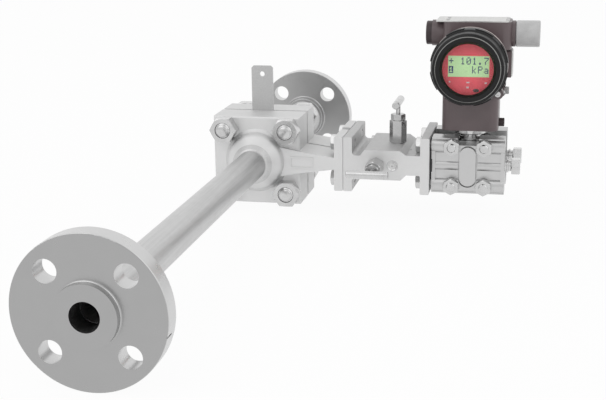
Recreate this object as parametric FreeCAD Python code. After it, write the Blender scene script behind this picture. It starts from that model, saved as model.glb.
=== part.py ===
import FreeCAD, Part
import math
import os

# Integral orifice flow meter: a flanged meter run with an orifice plate between two cast body halves,
# a three-valve manifold on their side arms and a differential pressure transmitter with a display.
# All sizes are millimetres. Shapes are laid out about the middle of the orifice plate, with Y along the
# pipe, X towards the transmitter and Z up, and are moved to the inlet face when they are saved.

# Meter run
UPSTREAM_LENGTH = 555.0
DOWNSTREAM_LENGTH = 245.0
PIPE_OD = 33.4
PIPE_WALL = 4.55
SOCKET_DEPTH = 12.7
SOCKET_CLEARANCE = 0.2
PIPE_END_GAP = 1.5
WELD_LEG = 6.0
WELD_ROOT = 1.0

# End flanges
FLANGE_OD = 124.0
FLANGE_THICK = 17.5
RAISED_FACE_OD = 50.8
RAISED_FACE_HEIGHT = 6.4
FLANGE_HUB_OD = 54.0
FLANGE_HUB_LENGTH = 9.5
FLANGE_BOLT_CIRCLE = 88.9
FLANGE_HOLE = 19.0
FLANGE_HOLE_COUNT = 4
FLANGE_EDGE = 1.0
RIM_MARK_WIDTH = 1.6
RIM_MARK_LENGTH = 9.0
RIM_MARK_DEPTH = 0.8
RIM_MARK_ANGLE = -13.0

# Cast body halves
BLOCK_SIDE = 100.0
BLOCK_DEPTH = 43.0
BLOCK_EDGE = 1.5
BLOCK_BEVEL = 6.0
HUB_RADIUS = 33.0
HUB_ROOT = 3.5
HUB_REACH = 22.0
HUB_NOSE_RADIUS = 20.0
HUB_SHOULDER = 11.0
ARM_PROUD = 5.0
ARM_START = 26.0
ARM_ROOT_HALF = 17.2
ARM_WAIST = 52.0
ARM_WAIST_HALF = 12.2
ARM_END_HALF = 6.6
ARM_FLANGE_FACE = 100.0
ARM_FLANGE_THICK = 10.0
ARM_FLANGE_HALF_HEIGHT = 31.0
ARM_FLANGE_WIDTH = 42.0
ARM_FLANGE_EDGE = 1.2
ARM_FRAME_START = 40.0
ARM_FRAME_LENGTH = 26.0
ARM_FRAME_HEIGHT = 13.0
ARM_FRAME_LINE = 1.4
ARM_FRAME_RISE = 1.0

# Orifice plate and its gaskets
PLATE_THICK = 3.0
PLATE_RADIUS = 38.0
ORIFICE_DIAMETER = 12.0
ORIFICE_LAND = 1.0
TAB_WIDTH = 25.0
TAB_OFFSET = -2.4
TAB_TOP = 102.0
TAB_CORNER = 2.5
TAB_HOLE = 6.0
TAB_HOLE_DROP = 9.6
JOINT_GAP = 0.3
GASKET_THICK = 2.0
GASKET_INNER_RADIUS = 17.0
GASKET_OUTER_RADIUS = 27.0
GASKET_SIDE_CLEARANCE = 0.3

# Body studs and nuts
STUD_DIAMETER = 18.0
STUD_OFFSET = 35.9
STUD_HOLE_CLEARANCE = 0.4
STUD_STANDOUT = 15.6
STUD_DOME = 1.6
STUD_NUT_FLATS = 27.0
STUD_NUT_HEIGHT = 14.8
THREAD_CLEARANCE = 0.06

# Process ports shared by arms, manifold and transmitter
PORT_OFFSET = 27.0
PORT_BOLT_OFFSET = 20.65
PORT_PASSAGE = 6.0
PORT_GASKET_INNER_RADIUS = 9.0
PORT_GASKET_OUTER_RADIUS = 13.0
PORT_GASKET_THICK = 2.4
PORT_GASKET_SIDE = 0.2
ARM_JOINT_GAP = 0.4
TRANSMITTER_JOINT_GAP = 1.6

# Small hexagon bolts and nuts
BOLT_DIAMETER = 10.0
BOLT_FLATS = 16.0
BOLT_HEAD = 6.5
BOLT_HOLE_CLEARANCE = 0.5
NUT_HEIGHT = 8.0
NUT_BOLT_STANDOUT = 1.6
BOLT_TIP = 1.0

# Manifold block
MANIFOLD_HALF_WIDTH = 48.0
MANIFOLD_FLANGE = 10.0
MANIFOLD_LEFT_HALF_HEIGHT = 31.0
MANIFOLD_RIGHT_HALF_HEIGHT = 31.8
MANIFOLD_LENGTH = 96.1
MANIFOLD_TOP = 17.0
MANIFOLD_BOTTOM = -16.5
MANIFOLD_TOP_INSET = 23.6
MANIFOLD_TOP_LENGTH = 40.0
MANIFOLD_NOTCH_FLOOR = 10.4
MANIFOLD_NOTCH_INSET = 19.1
MANIFOLD_NECK_INSET = 70.6
MANIFOLD_NECK_TOP = 12.0
MANIFOLD_NECK_BOTTOM = -10.3
NOTCH_RADIUS = 4.5
NECK_RADIUS = 1.5
LOCK_PIN_DIAMETER = 2.6
LOCK_PIN_DEPTH = 4.0
LOCK_PIN_OFFSET = 16.0

# Needle valves
SIDE_VALVE_INSET = 37.1
CROSS_DRILL_INSET = 55.4
CROSS_DRILL = 5.0
VALVE_BORE_DEPTH = 12.0
VALVE_STUB_RADIUS = 8.0
VALVE_STUB_SHORT = 0.3
BONNET_FLATS = 17.0
BONNET_LENGTH = 26.0
GLAND_FLATS = 14.5
GLAND_LENGTH = 7.0
STEM_DIAMETER = 5.0
STEM_THREAD_DIAMETER = 8.0
STEM_THREAD_LENGTH = 10.0
STEM_RUNNING_FIT = 0.05
STEM_FOOT = 2.0
STEM_LIFT_ROOM = 4.0
NEEDLE_GAP = 0.3
NEEDLE_HEAD_LENGTH = 8.0
NEEDLE_DIAMETER = 5.0
NEEDLE_CONE = 4.0
NEEDLE_SEAT_CLEARANCE = 0.5
SEAT_BORE = 5.6
PACKING_LENGTH = 5.6
PACKING_WALL = 2.0
PACKING_CLEARANCE = 0.1
T_BAR_DIAMETER = 8.5
T_BAR_LENGTH = 46.0
T_BAR_DISTANCE = 46.0
T_BAR_END = 1.2
T_BAR_GROOVE_INSET = 3.5
T_BAR_GROOVE = 0.8
T_BAR_STEM_SEAT = 2.0
SIDE_T_BAR_SHIFT = 3.0

# Cross-drilling plug
PLUG_RADIUS = 6.2
PLUG_DEPTH = 8.0
PLUG_RIM = 1.2
PLUG_STANDOUT = 0.8
PLUG_SOCKET_RADIUS = 2.4
PLUG_SOCKET_DEPTH = 2.0

# Process flanges and sensor module
PROCESS_FLANGE_LENGTH = 80.0
PROCESS_HALF_HEIGHT = 31.0
PROCESS_INNER_FACE = 14.0
PROCESS_PANEL_FACE = 36.0
PROCESS_LOBE_RADIUS = 9.0
PROCESS_LOBE_FACE = 40.0
PROCESS_BOLT_X = 17.7
PROCESS_BAND_FACE = 38.0
PROCESS_BAND_RADIUS = 6.6
PROCESS_END_PAD = 4.2
PROCESS_STADIUM_WIDTH = 17.6
PROCESS_STADIUM_HEIGHT = 43.7
PROCESS_GROOVE_WIDTH = 1.6
PROCESS_GROOVE_DEPTH = 1.4
PROCESS_STADIUM_FACE = 40.6
PROCESS_NOTCH_WIDTH = 23.0
PROCESS_NOTCH_DEPTH = 7.0
SPOTFACE_DEPTH = 1.0
SPOTFACE_MARGIN = 0.2
TAPPED_DEPTH = 13.0
CHAMBER_RADIUS = 15.0
CHAMBER_DEPTH = 3.0
CHAMBER_PASSAGE = 4.0
PROCESS_GASKET_WIDTH = 3.0
PROCESS_GASKET_THICK = 1.6
MODULE_RADIUS = 22.0
MODULE_HALF_THICK = 13.0
MODULE_NECK_RADIUS = 12.5
MODULE_COLLAR_RADIUS = 18.0
MODULE_COLLAR_GAP = 0.5
MODULE_COLLAR_HEIGHT = 5.5
MODULE_SPIGOT_RADIUS = 16.0
MODULE_SPIGOT_HEIGHT = 20.0

# Vent valves
VENT_SEAT_RADIUS = 6.0
VENT_SEAT_DEPTH = 10.0
VENT_NECK_LENGTH = 7.0
VENT_RING_RADIUS = 7.4
VENT_RING_THICK = 2.2
VENT_RING_INSET = 2.0
VENT_CAP_FLATS = 16.6
VENT_CAP_LENGTH = 9.4
VENT_CAP_GAP = 0.3
VENT_STEM_RADIUS = 3.0
VENT_STEM_LENGTH = 12.0

# Electronics housing
HOUSING_BOTTOM_GAP = 0.3
HOUSING_WALL_RADIUS = 31.0
NECK_HALF_DEPTH = 25.0
NECK_CORNER = 10.0
BARREL_RISE = 75.7
BARREL_RADIUS = 38.5
BARREL_HALF_LENGTH = 38.0
SPIGOT_RADIUS = 35.6
SPIGOT_END = 60.8
COMPARTMENT_RADIUS = 32.0
COMPARTMENT_WALL_HALF = 6.0
WIRE_PASSAGE_RADIUS = 8.0
CROSS_BODY_LEFT = 31.6
CROSS_BODY_RIGHT = 42.0
CROSS_BODY_HALF_WIDTH = 23.0
CROSS_BODY_RISE = 14.0
CROSS_BODY_EDGE = 9.0
HOUSING_TOP_RISE = 43.8
CONDUIT_RISE = 29.5
CONDUIT_BOSS_RADIUS = 14.2
CONDUIT_LEFT_BOSS = 13.0
CONDUIT_RIGHT_BOSS = 4.1
CONDUIT_HOLE_RADIUS = 10.5
CONDUIT_FIT = 0.08
NECK_RUNNING_FIT = 0.08
SIDE_PAD_PROUD = 4.6
SIDE_PAD_HALF_WIDTH = 17.0
SIDE_PAD_DROP = 16.5
SIDE_PAD_RISE = 11.5
STANDOFF_RADIUS = 3.0
STANDOFF_X = 20.0
STANDOFF_Z = 12.0
STANDOFF_LENGTH = 12.0

# Covers
COVER_REAR_EDGE = 42.0
FRONT_COVER_FACE = 79.0
REAR_COVER_FACE = 70.0
COVER_REAR_RADIUS = 40.5
COVER_FRONT_RADIUS = 38.4
COVER_CORNER = 2.0
COVER_FIT = 0.08
COVER_LUG_COUNT = 8
COVER_LUG_WIDTH = 12.0
COVER_LUG_RISE = 1.1
COVER_LUG_ROOT = 1.5
COVER_LUG_INSET = 18.0
COVER_LUG_LENGTH = 11.0
COVER_TAPER_END = 4.0
COVER_TAPER = 0.6
WINDOW_OPENING_RADIUS = 27.0
WINDOW_FLARE_RADIUS = 29.5
WINDOW_SEAT_RADIUS = 30.4
WINDOW_RADIUS = 30.2
WINDOW_THICK = 4.0
WINDOW_INSET = 4.5
WINDOW_FLARE_ROOT = 1.2
REAR_COVER_WALL = 4.5
REAR_COVER_DISH_RADIUS = 30.0
REAR_COVER_DISH_DEPTH = 1.5
SEAL_SECTION_RADIUS = 1.3
SEAL_INSET = 2.6
SEAL_STANDOUT = 0.04

# Display, board and terminals
BOARD_RADIUS = 30.0
BOARD_THICK = 1.6
DISPLAY_RADIUS = 27.8
DISPLAY_BACK_GAP = 2.0
DIAL_INSET = 15.0
DIAL_THICK = 1.0
DIAL_RADIUS = 31.6
SCREEN_WIDTH = 43.0
SCREEN_HEIGHT = 22.2
SCREEN_RAISE = 0.6
SCREEN_RISE = 1.6
SCREEN_CLEARANCE = 0.2
TERMINAL_BLOCK_RADIUS = 27.0
TERMINAL_BLOCK_THICK = 16.0
TERMINAL_SCREW_RADIUS = 3.4
TERMINAL_SCREW_SPACING = 14.0
TERMINAL_SCREW_RISE = 1.6

# Plates, plugs and small screws of the housing
NAMEPLATE_LEFT_OVERHANG = 7.6
NAMEPLATE_RIGHT_INSET = 2.6
NAMEPLATE_HALF_WIDTH = 23.0
NAMEPLATE_THICK = 1.2
NAMEPLATE_CORNER = 3.0
NAMEPLATE_SCREW_RADIUS = 2.0
NAMEPLATE_SCREW_RISE = 1.1
NAMEPLATE_SCREW_DEPTH = 4.0
NAMEPLATE_SCREW_INSET = 17.0
NAMEPLATE_SCREW_SIDE = 4.5
SIDE_TAG_THICK = 1.2
SIDE_TAG_MARGIN = 1.0
CONDUIT_PLUG_HEAD = 6.5
CONDUIT_PLUG_HEAD_RADIUS = 13.0
CONDUIT_PLUG_SHANK = 12.0
CONDUIT_PLUG_SOCKET = 9.5
CONDUIT_PLUG_SOCKET_DEPTH = 3.0
CAP_RADIUS = 14.4
CAP_LENGTH = 26.4
CAP_SHANK = 10.0
CAP_BORE_RADIUS = 8.0
CAP_END_WALL = 3.0
CAP_EDGE = 1.6
LOCK_SCREW_ANGLE = -46.0
LOCK_SCREW_CIRCLE = 43.6
LOCK_BOSS_RADIUS = 6.0
LOCK_BOSS_LENGTH = 12.0
LOCK_SCREW_HEAD_RADIUS = 3.2
LOCK_SCREW_HEAD = 3.4
LOCK_SCREW_SHANK_RADIUS = 1.8
LOCK_SCREW_SHANK = 8.0
GROUND_Y = -8.0
GROUND_DROP = 32.0
GROUND_BOSS_RADIUS = 6.5
GROUND_BOSS_PROUD = 5.0
GROUND_SCREW_FLATS = 7.6
GROUND_SCREW_HEAD = 4.0
GROUND_WASHER_RADIUS = 5.4
GROUND_WASHER_THICK = 1.2
GROUND_SHANK_RADIUS = 2.0
GROUND_SHANK = 7.0
SET_SCREW_RISE = 6.3
SET_SCREW_RADIUS = 4.8
SET_SCREW_HEAD = 6.0
SET_SCREW_SHANK_RADIUS = 2.9
SET_SCREW_TIP_GAP = 0.3
SET_SCREW_SOCKET_FLATS = 5.0
SET_SCREW_SOCKET_DEPTH = 3.0

# Values worked out from the sizes above
PIPE_RADIUS = PIPE_OD / 2
BORE_RADIUS = PIPE_RADIUS - PIPE_WALL
SOCKET_RADIUS = PIPE_RADIUS + SOCKET_CLEARANCE
FLANGE_LENGTH = RAISED_FACE_HEIGHT + FLANGE_THICK + FLANGE_HUB_LENGTH
FLANGE_SOCKET = FLANGE_LENGTH - SOCKET_DEPTH
BODY_JOINT = PLATE_THICK / 2 + JOINT_GAP
HUB_END = BLOCK_DEPTH + HUB_REACH
HUB_SOCKET = HUB_END - SOCKET_DEPTH
STUD_RADIUS = STUD_DIAMETER / 2
BOLT_RADIUS = BOLT_DIAMETER / 2
PASSAGE_RADIUS = PORT_PASSAGE / 2
ARM_FACE = BLOCK_DEPTH + ARM_PROUD
MANIFOLD_START = ARM_FLANGE_FACE + ARM_JOINT_GAP
MANIFOLD_END = MANIFOLD_START + MANIFOLD_LENGTH
MANIFOLD_LEFT_INNER = MANIFOLD_START + MANIFOLD_FLANGE
MANIFOLD_RIGHT_INNER = MANIFOLD_END - MANIFOLD_FLANGE
MANIFOLD_NOTCH_END = MANIFOLD_START + MANIFOLD_NOTCH_INSET
MANIFOLD_TOP_START = MANIFOLD_START + MANIFOLD_TOP_INSET
MANIFOLD_TOP_END = MANIFOLD_TOP_START + MANIFOLD_TOP_LENGTH
MANIFOLD_NECK_START = MANIFOLD_START + MANIFOLD_NECK_INSET
SIDE_VALVE_X = MANIFOLD_START + SIDE_VALVE_INSET
CROSS_DRILL_X = MANIFOLD_START + CROSS_DRILL_INSET
PROCESS_LOW_X = MANIFOLD_END + TRANSMITTER_JOINT_GAP
PROCESS_HIGH_X = PROCESS_LOW_X + PROCESS_FLANGE_LENGTH
TRANSMITTER_X = (PROCESS_LOW_X + PROCESS_HIGH_X) / 2
PROCESS_BOLT_Z = PROCESS_HALF_HEIGHT - PROCESS_LOBE_RADIUS
PROCESS_SEAT_FACE = PROCESS_LOBE_FACE - SPOTFACE_DEPTH
PROCESS_GROOVE_FLOOR = PROCESS_PANEL_FACE - PROCESS_GROOVE_DEPTH
COLLAR_BOTTOM = PROCESS_HALF_HEIGHT + MODULE_COLLAR_GAP
COLLAR_TOP = COLLAR_BOTTOM + MODULE_COLLAR_HEIGHT
HOUSING_BOTTOM = COLLAR_TOP + HOUSING_BOTTOM_GAP
SET_SCREW_Z = HOUSING_BOTTOM + SET_SCREW_RISE
BARREL_AXIS_Z = HOUSING_BOTTOM + BARREL_RISE
HOUSING_TOP = BARREL_AXIS_Z + HOUSING_TOP_RISE
CONDUIT_AXIS_Z = BARREL_AXIS_Z + CONDUIT_RISE
CROSS_BODY_BOTTOM = BARREL_AXIS_Z + CROSS_BODY_RISE
CROSS_BODY_LOW_X = TRANSMITTER_X - CROSS_BODY_LEFT
CROSS_BODY_HIGH_X = TRANSMITTER_X + CROSS_BODY_RIGHT
CONDUIT_LEFT_FACE = CROSS_BODY_LOW_X - CONDUIT_LEFT_BOSS
CONDUIT_RIGHT_FACE = CROSS_BODY_HIGH_X + CONDUIT_RIGHT_BOSS
NAMEPLATE_LOW_X = CROSS_BODY_LOW_X - NAMEPLATE_LEFT_OVERHANG
NAMEPLATE_HIGH_X = CROSS_BODY_HIGH_X - NAMEPLATE_RIGHT_INSET
SIDE_PAD_FACE = TRANSMITTER_X + BARREL_RADIUS + SIDE_PAD_PROUD
SIDE_PAD_LOW = BARREL_AXIS_Z - SIDE_PAD_DROP
SIDE_PAD_HIGH = BARREL_AXIS_Z + SIDE_PAD_RISE
GROUND_Z = BARREL_AXIS_Z - GROUND_DROP
GROUND_BOSS_FACE = TRANSMITTER_X + HOUSING_WALL_RADIUS + GROUND_BOSS_PROUD
NECK_BORE_TOP = COLLAR_TOP + MODULE_SPIGOT_HEIGHT + HOUSING_BOTTOM_GAP
BOARD_FACE = COMPARTMENT_WALL_HALF + STANDOFF_LENGTH
WINDOW_FACE = FRONT_COVER_FACE - WINDOW_INSET
DIAL_FACE = FRONT_COVER_FACE - DIAL_INSET
STEM_RADIUS = STEM_DIAMETER / 2

ORIGIN = FreeCAD.Vector(0, 0, 0)
AXIS_X = FreeCAD.Vector(1, 0, 0)
AXIS_Y = FreeCAD.Vector(0, 1, 0)
AXIS_Z = FreeCAD.Vector(0, 0, 1)
TO_INLET = FreeCAD.Vector(0, UPSTREAM_LENGTH, 0)


def vec(x, y, z):
    return FreeCAD.Vector(x, y, z)


def cylinder(radius, start, axis, length):
    return Part.makeCylinder(radius, length, start, axis)


def box(low, high):
    size = high.sub(low)
    return Part.makeBox(size.x, size.y, size.z, low)


def corner_arc(before, here, after, radius):
    """First point, middle and last point of the arc that rounds one corner."""
    toward = before.sub(here).normalize()
    away = after.sub(here).normalize()
    half = toward.getAngle(away) / 2
    reach = radius / math.tan(half)
    centre = here.add(toward.add(away).normalize().multiply(radius / math.sin(half)))
    middle = centre.add(here.sub(centre).normalize().multiply(radius))
    return here.add(toward.multiply(reach)), middle, here.add(away.multiply(reach))


def outline(corners, to_space):
    """Closed wire through corners given as (u, v) or (u, v, rounding radius)."""
    points = [to_space(corner[0], corner[1]) for corner in corners]
    count = len(corners)
    arcs = []
    for i, corner in enumerate(corners):
        if len(corner) == 3:
            arcs.append(corner_arc(points[i - 1], points[i], points[(i + 1) % count], corner[2]))
        else:
            arcs.append((points[i], points[i], points[i]))
    edges = []
    for i in range(count):
        first, middle, last = arcs[i]
        if last.sub(first).Length > 1e-6:
            edges.append(Part.Arc(first, middle, last).toShape())
        following = arcs[(i + 1) % count][0]
        if following.sub(last).Length > 1e-6:
            edges.append(Part.makeLine(last, following))
    return Part.Wire(edges)


def turned(corners, start, axis):
    """Solid of revolution from a profile of (radius, distance along the axis) corners."""
    side = AXIS_Z if abs(axis.z) < 0.5 else AXIS_X

    def to_space(radius, distance):
        return start.add(FreeCAD.Vector(side).multiply(radius)).add(FreeCAD.Vector(axis).multiply(distance))

    face = Part.Face(outline(corners, to_space))
    return face.revolve(start, axis, 360)


def extruded_along_y(corners, low_y, high_y):
    """Prism from a profile of (x, z) corners."""
    face = Part.Face(outline(corners, lambda x, z: vec(x, low_y, z)))
    return face.extrude(vec(0, high_y - low_y, 0))


def hex_prism(flats, start, axis, length, flat_direction):
    radius = flats / math.sqrt(3)
    across = axis.cross(flat_direction)
    corners = []
    for i in range(6):
        angle = math.radians(30 + 60 * i)
        shift = FreeCAD.Vector(flat_direction).multiply(radius * math.cos(angle))
        rise = FreeCAD.Vector(across).multiply(radius * math.sin(angle))
        corners.append(start.add(shift).add(rise))
    corners.append(corners[0])
    face = Part.Face(Part.makePolygon(corners))
    return face.extrude(FreeCAD.Vector(axis).multiply(length))


def hex_body(flats, start, axis, length, flat_direction):
    """Hexagon with its corners turned down at both ends."""
    corner = flats / math.sqrt(3)
    drop = (corner - flats / 2) * math.tan(math.radians(30))
    envelope = turned([(0, 0), (flats / 2, 0), (corner, drop), (corner, length - drop),
                       (flats / 2, length), (0, length)], start, axis)
    return hex_prism(flats, start, axis, length, flat_direction).common(envelope)


def hex_nut(flats, hole_radius, start, axis, height, flat_direction):
    body = hex_body(flats, start, axis, height, flat_direction)
    return body.cut(cylinder(hole_radius, start, axis, height))


def hex_bolt(start, axis, length, flat_direction):
    """Bolt whose head stands behind start and whose shank runs forward along the axis."""
    head_start = start.sub(FreeCAD.Vector(axis).multiply(BOLT_HEAD))
    head = hex_body(BOLT_FLATS, head_start, axis, BOLT_HEAD, flat_direction)
    shank = turned([(0, -BOLT_TIP), (BOLT_RADIUS, -BOLT_TIP), (BOLT_RADIUS, length - BOLT_TIP),
                    (BOLT_RADIUS - BOLT_TIP, length), (0, length)], start, axis)
    return head.fuse(shank).removeSplitter()


def ring(inner, outer, start, axis, thick):
    return cylinder(outer, start, axis, thick).cut(cylinder(inner, start, axis, thick))


def other_side(shape):
    """Mirror image across the orifice plate's middle plane."""
    return shape.mirror(ORIGIN, AXIS_Y)


def group(shapes):
    return Part.makeCompound(shapes)


def port_bolt_places(x):
    places = []
    for y in (-PORT_OFFSET, PORT_OFFSET):
        for z in (-PORT_BOLT_OFFSET, PORT_BOLT_OFFSET):
            places.append(vec(x, y, z))
    return places


def process_bolt_places(y):
    places = []
    for x in (TRANSMITTER_X - PROCESS_BOLT_X, TRANSMITTER_X + PROCESS_BOLT_X):
        for z in (-PROCESS_BOLT_Z, PROCESS_BOLT_Z):
            places.append(vec(x, y, z))
    return places


def end_flange(face_y, inward):
    """Socket-weld flange with its raised face at face_y and its hub towards the meter."""
    raised = RAISED_FACE_OD / 2
    rim = FLANGE_OD / 2
    back = RAISED_FACE_HEIGHT + FLANGE_THICK
    start = vec(0, face_y, 0)
    axis = vec(0, inward, 0)
    body = turned([(BORE_RADIUS, 0), (raised, 0), (raised, RAISED_FACE_HEIGHT, 1.5),
                   (rim, RAISED_FACE_HEIGHT, FLANGE_EDGE), (rim, back, FLANGE_EDGE),
                   (FLANGE_HUB_OD / 2, back, 2.0), (FLANGE_HUB_OD / 2 - 1, FLANGE_LENGTH, 1.0),
                   (SOCKET_RADIUS, FLANGE_LENGTH), (SOCKET_RADIUS, FLANGE_SOCKET),
                   (BORE_RADIUS, FLANGE_SOCKET)], start, axis)
    for i in range(FLANGE_HOLE_COUNT):
        angle = math.radians(360 * (i + 0.5) / FLANGE_HOLE_COUNT)
        place = start.add(vec(math.cos(angle), 0, math.sin(angle)).multiply(FLANGE_BOLT_CIRCLE / 2))
        body = body.cut(cylinder(FLANGE_HOLE / 2, place, axis, FLANGE_LENGTH))
    return body


def inlet_flange():
    """Inlet flange with the short mark cut across its rim."""
    rim = FLANGE_OD / 2
    face_y = -UPSTREAM_LENGTH
    low_y = face_y + RAISED_FACE_HEIGHT
    mark = box(vec(rim - RIM_MARK_DEPTH, low_y, -RIM_MARK_WIDTH / 2),
               vec(rim + RIM_MARK_DEPTH, low_y + RIM_MARK_LENGTH, RIM_MARK_WIDTH / 2))
    mark.rotate(ORIGIN, AXIS_Y, -RIM_MARK_ANGLE)
    return end_flange(face_y, 1).cut(mark)


def weld_bead(start, axis):
    return turned([(PIPE_RADIUS - WELD_ROOT, 0), (PIPE_RADIUS + WELD_LEG, 0),
                   (PIPE_RADIUS + WELD_ROOT, WELD_LEG, 4.0), (PIPE_RADIUS - WELD_ROOT, WELD_LEG)],
                  start, axis)


def line_pipe(flange_face):
    """Pipe from the end flange's socket to the body's socket, with its two weld beads."""
    inward = -math.copysign(1, flange_face)
    flange_end = abs(flange_face) - FLANGE_SOCKET - PIPE_END_GAP
    body_end = HUB_SOCKET + PIPE_END_GAP
    start = vec(0, -inward * flange_end, 0)
    axis = vec(0, inward, 0)
    pipe = cylinder(PIPE_RADIUS, start, axis, flange_end - body_end)
    flange_bead = weld_bead(vec(0, -inward * (abs(flange_face) - FLANGE_LENGTH), 0), axis)
    body_bead = weld_bead(vec(0, -inward * HUB_END, 0), vec(0, -inward, 0))
    solid = pipe.fuse([flange_bead, body_bead])
    return solid.cut(cylinder(BORE_RADIUS, start, axis, flange_end - body_end)).removeSplitter()


def body_block(bevel):
    half = BLOCK_SIDE / 2
    block = box(vec(-half, -BLOCK_DEPTH, -half), vec(half, -BODY_JOINT, half))
    outer = []
    for edge in block.Edges:
        if all(abs(vertex.Y + BLOCK_DEPTH) < 1e-6 for vertex in edge.Vertexes):
            outer.append(edge)
    return block.makeChamfer(bevel, outer)


def body_hub():
    root = HUB_RADIUS + HUB_ROOT
    shoulder = HUB_END - HUB_SHOULDER
    return turned([(0, BODY_JOINT), (HUB_NOSE_RADIUS, BODY_JOINT), (HUB_NOSE_RADIUS, BLOCK_DEPTH),
                   (root, BLOCK_DEPTH), (HUB_RADIUS, BLOCK_DEPTH + HUB_ROOT, 3.0),
                   (HUB_RADIUS - 1.5, shoulder, 8.0), (HUB_NOSE_RADIUS, HUB_END, 1.0), (0, HUB_END)],
                  ORIGIN, vec(0, -1, 0))


def body_arm():
    """Tapered arm that carries the pressure passage to its half of the arm flange."""
    back = ARM_FLANGE_FACE - ARM_FLANGE_THICK
    half = PORT_OFFSET - ARM_FLANGE_WIDTH / 2
    arm = extruded_along_y([(ARM_START, -ARM_ROOT_HALF), (ARM_WAIST, -ARM_WAIST_HALF, 20.0),
                            (back + 1, -ARM_END_HALF), (back + 1, ARM_END_HALF),
                            (ARM_WAIST, ARM_WAIST_HALF, 20.0), (ARM_START, ARM_ROOT_HALF)],
                           -ARM_FACE, -BODY_JOINT)
    flange = extruded_along_y([(back, -ARM_FLANGE_HALF_HEIGHT, ARM_FLANGE_EDGE),
                               (ARM_FLANGE_FACE, -ARM_FLANGE_HALF_HEIGHT, ARM_FLANGE_EDGE),
                               (ARM_FLANGE_FACE, ARM_FLANGE_HALF_HEIGHT, ARM_FLANGE_EDGE),
                               (back, ARM_FLANGE_HALF_HEIGHT, ARM_FLANGE_EDGE)],
                              -(half + ARM_FLANGE_WIDTH), -half)
    return arm.fuse(flange)


def arm_frame():
    """Raised empty frame on the arm's outer face."""
    half = ARM_FRAME_HEIGHT / 2
    line = ARM_FRAME_LINE
    end = ARM_FRAME_START + ARM_FRAME_LENGTH
    outer = box(vec(ARM_FRAME_START, -ARM_FACE - ARM_FRAME_RISE, -half), vec(end, -ARM_FACE + 1, half))
    inner = box(vec(ARM_FRAME_START + line, -ARM_FACE - ARM_FRAME_RISE, -half + line),
                vec(end - line, -ARM_FACE + 1, half - line))
    return outer.cut(inner)


def body_half(bevel):
    """Body casting on the upstream side of the plate."""
    body = body_block(bevel).fuse([body_hub(), body_arm(), arm_frame()]).removeSplitter()
    outward = vec(0, -1, 0)
    body = body.cut(cylinder(BORE_RADIUS, ORIGIN, outward, HUB_END))
    body = body.cut(cylinder(SOCKET_RADIUS, vec(0, -HUB_SOCKET, 0), outward, SOCKET_DEPTH))
    recess = GASKET_OUTER_RADIUS + GASKET_SIDE_CLEARANCE
    body = body.cut(cylinder(recess, ORIGIN, outward, PLATE_THICK / 2 + GASKET_THICK))
    for x in (-STUD_OFFSET, STUD_OFFSET):
        for z in (-STUD_OFFSET, STUD_OFFSET):
            body = body.cut(cylinder(STUD_RADIUS + STUD_HOLE_CLEARANCE, vec(x, 0, z), outward,
                                     BLOCK_DEPTH + 1))
    body = body.cut(cylinder(PASSAGE_RADIUS, vec(0, -PORT_OFFSET, 0), AXIS_X, ARM_FLANGE_FACE))
    for z in (-PORT_BOLT_OFFSET, PORT_BOLT_OFFSET):
        place = vec(ARM_FLANGE_FACE - ARM_FLANGE_THICK, -PORT_OFFSET, z)
        body = body.cut(cylinder(BOLT_RADIUS + BOLT_HOLE_CLEARANCE, place, AXIS_X, ARM_FLANGE_THICK))
    return body


def orifice_plate():
    """Paddle plate: a disc between the gaskets and a marked tab above the body."""
    half = PLATE_THICK / 2
    disc = cylinder(PLATE_RADIUS, vec(0, -half, 0), AXIS_Y, PLATE_THICK)
    left = TAB_OFFSET - TAB_WIDTH / 2
    right = TAB_OFFSET + TAB_WIDTH / 2
    tab = extruded_along_y([(left, 0), (right, 0), (right, TAB_TOP - TAB_CORNER),
                            (right - TAB_CORNER, TAB_TOP), (left + TAB_CORNER, TAB_TOP),
                            (left, TAB_TOP - TAB_CORNER)], -half, half)
    plate = disc.fuse(tab).removeSplitter()
    plate = plate.cut(cylinder(TAB_HOLE / 2, vec(TAB_OFFSET, -half, TAB_TOP - TAB_HOLE_DROP), AXIS_Y,
                               PLATE_THICK))
    edge = ORIFICE_DIAMETER / 2
    flare = edge + PLATE_THICK - ORIFICE_LAND
    bore = turned([(0, -half), (edge, -half), (edge, -half + ORIFICE_LAND), (flare, half), (0, half)],
                  ORIGIN, AXIS_Y)
    return plate.cut(bore)


def plate_gaskets():
    gasket = ring(GASKET_INNER_RADIUS, GASKET_OUTER_RADIUS, vec(0, -PLATE_THICK / 2, 0),
                  vec(0, -1, 0), GASKET_THICK)
    return group([gasket, other_side(gasket)])


def body_studs():
    studs = []
    reach = BLOCK_DEPTH + STUD_STANDOUT
    for x in (-STUD_OFFSET, STUD_OFFSET):
        for z in (-STUD_OFFSET, STUD_OFFSET):
            studs.append(turned([(0, -reach), (STUD_RADIUS - 2, -reach), (STUD_RADIUS, STUD_DOME - reach),
                                 (STUD_RADIUS, reach - STUD_DOME), (STUD_RADIUS - 2, reach), (0, reach)],
                                vec(x, 0, z), AXIS_Y))
    return group(studs)


def body_nuts():
    nuts = []
    hole = STUD_RADIUS + THREAD_CLEARANCE
    for x in (-STUD_OFFSET, STUD_OFFSET):
        for z in (-STUD_OFFSET, STUD_OFFSET):
            nut = hex_nut(STUD_NUT_FLATS, hole, vec(x, -BLOCK_DEPTH, z), vec(0, -1, 0), STUD_NUT_HEIGHT,
                          AXIS_Z)
            nuts.append(nut)
            nuts.append(other_side(nut))
    return group(nuts)


def port_recess(face_x, depth, inward, y):
    return cylinder(PORT_GASKET_OUTER_RADIUS + PORT_GASKET_SIDE, vec(face_x, y, 0), vec(inward, 0, 0),
                    depth)


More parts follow.
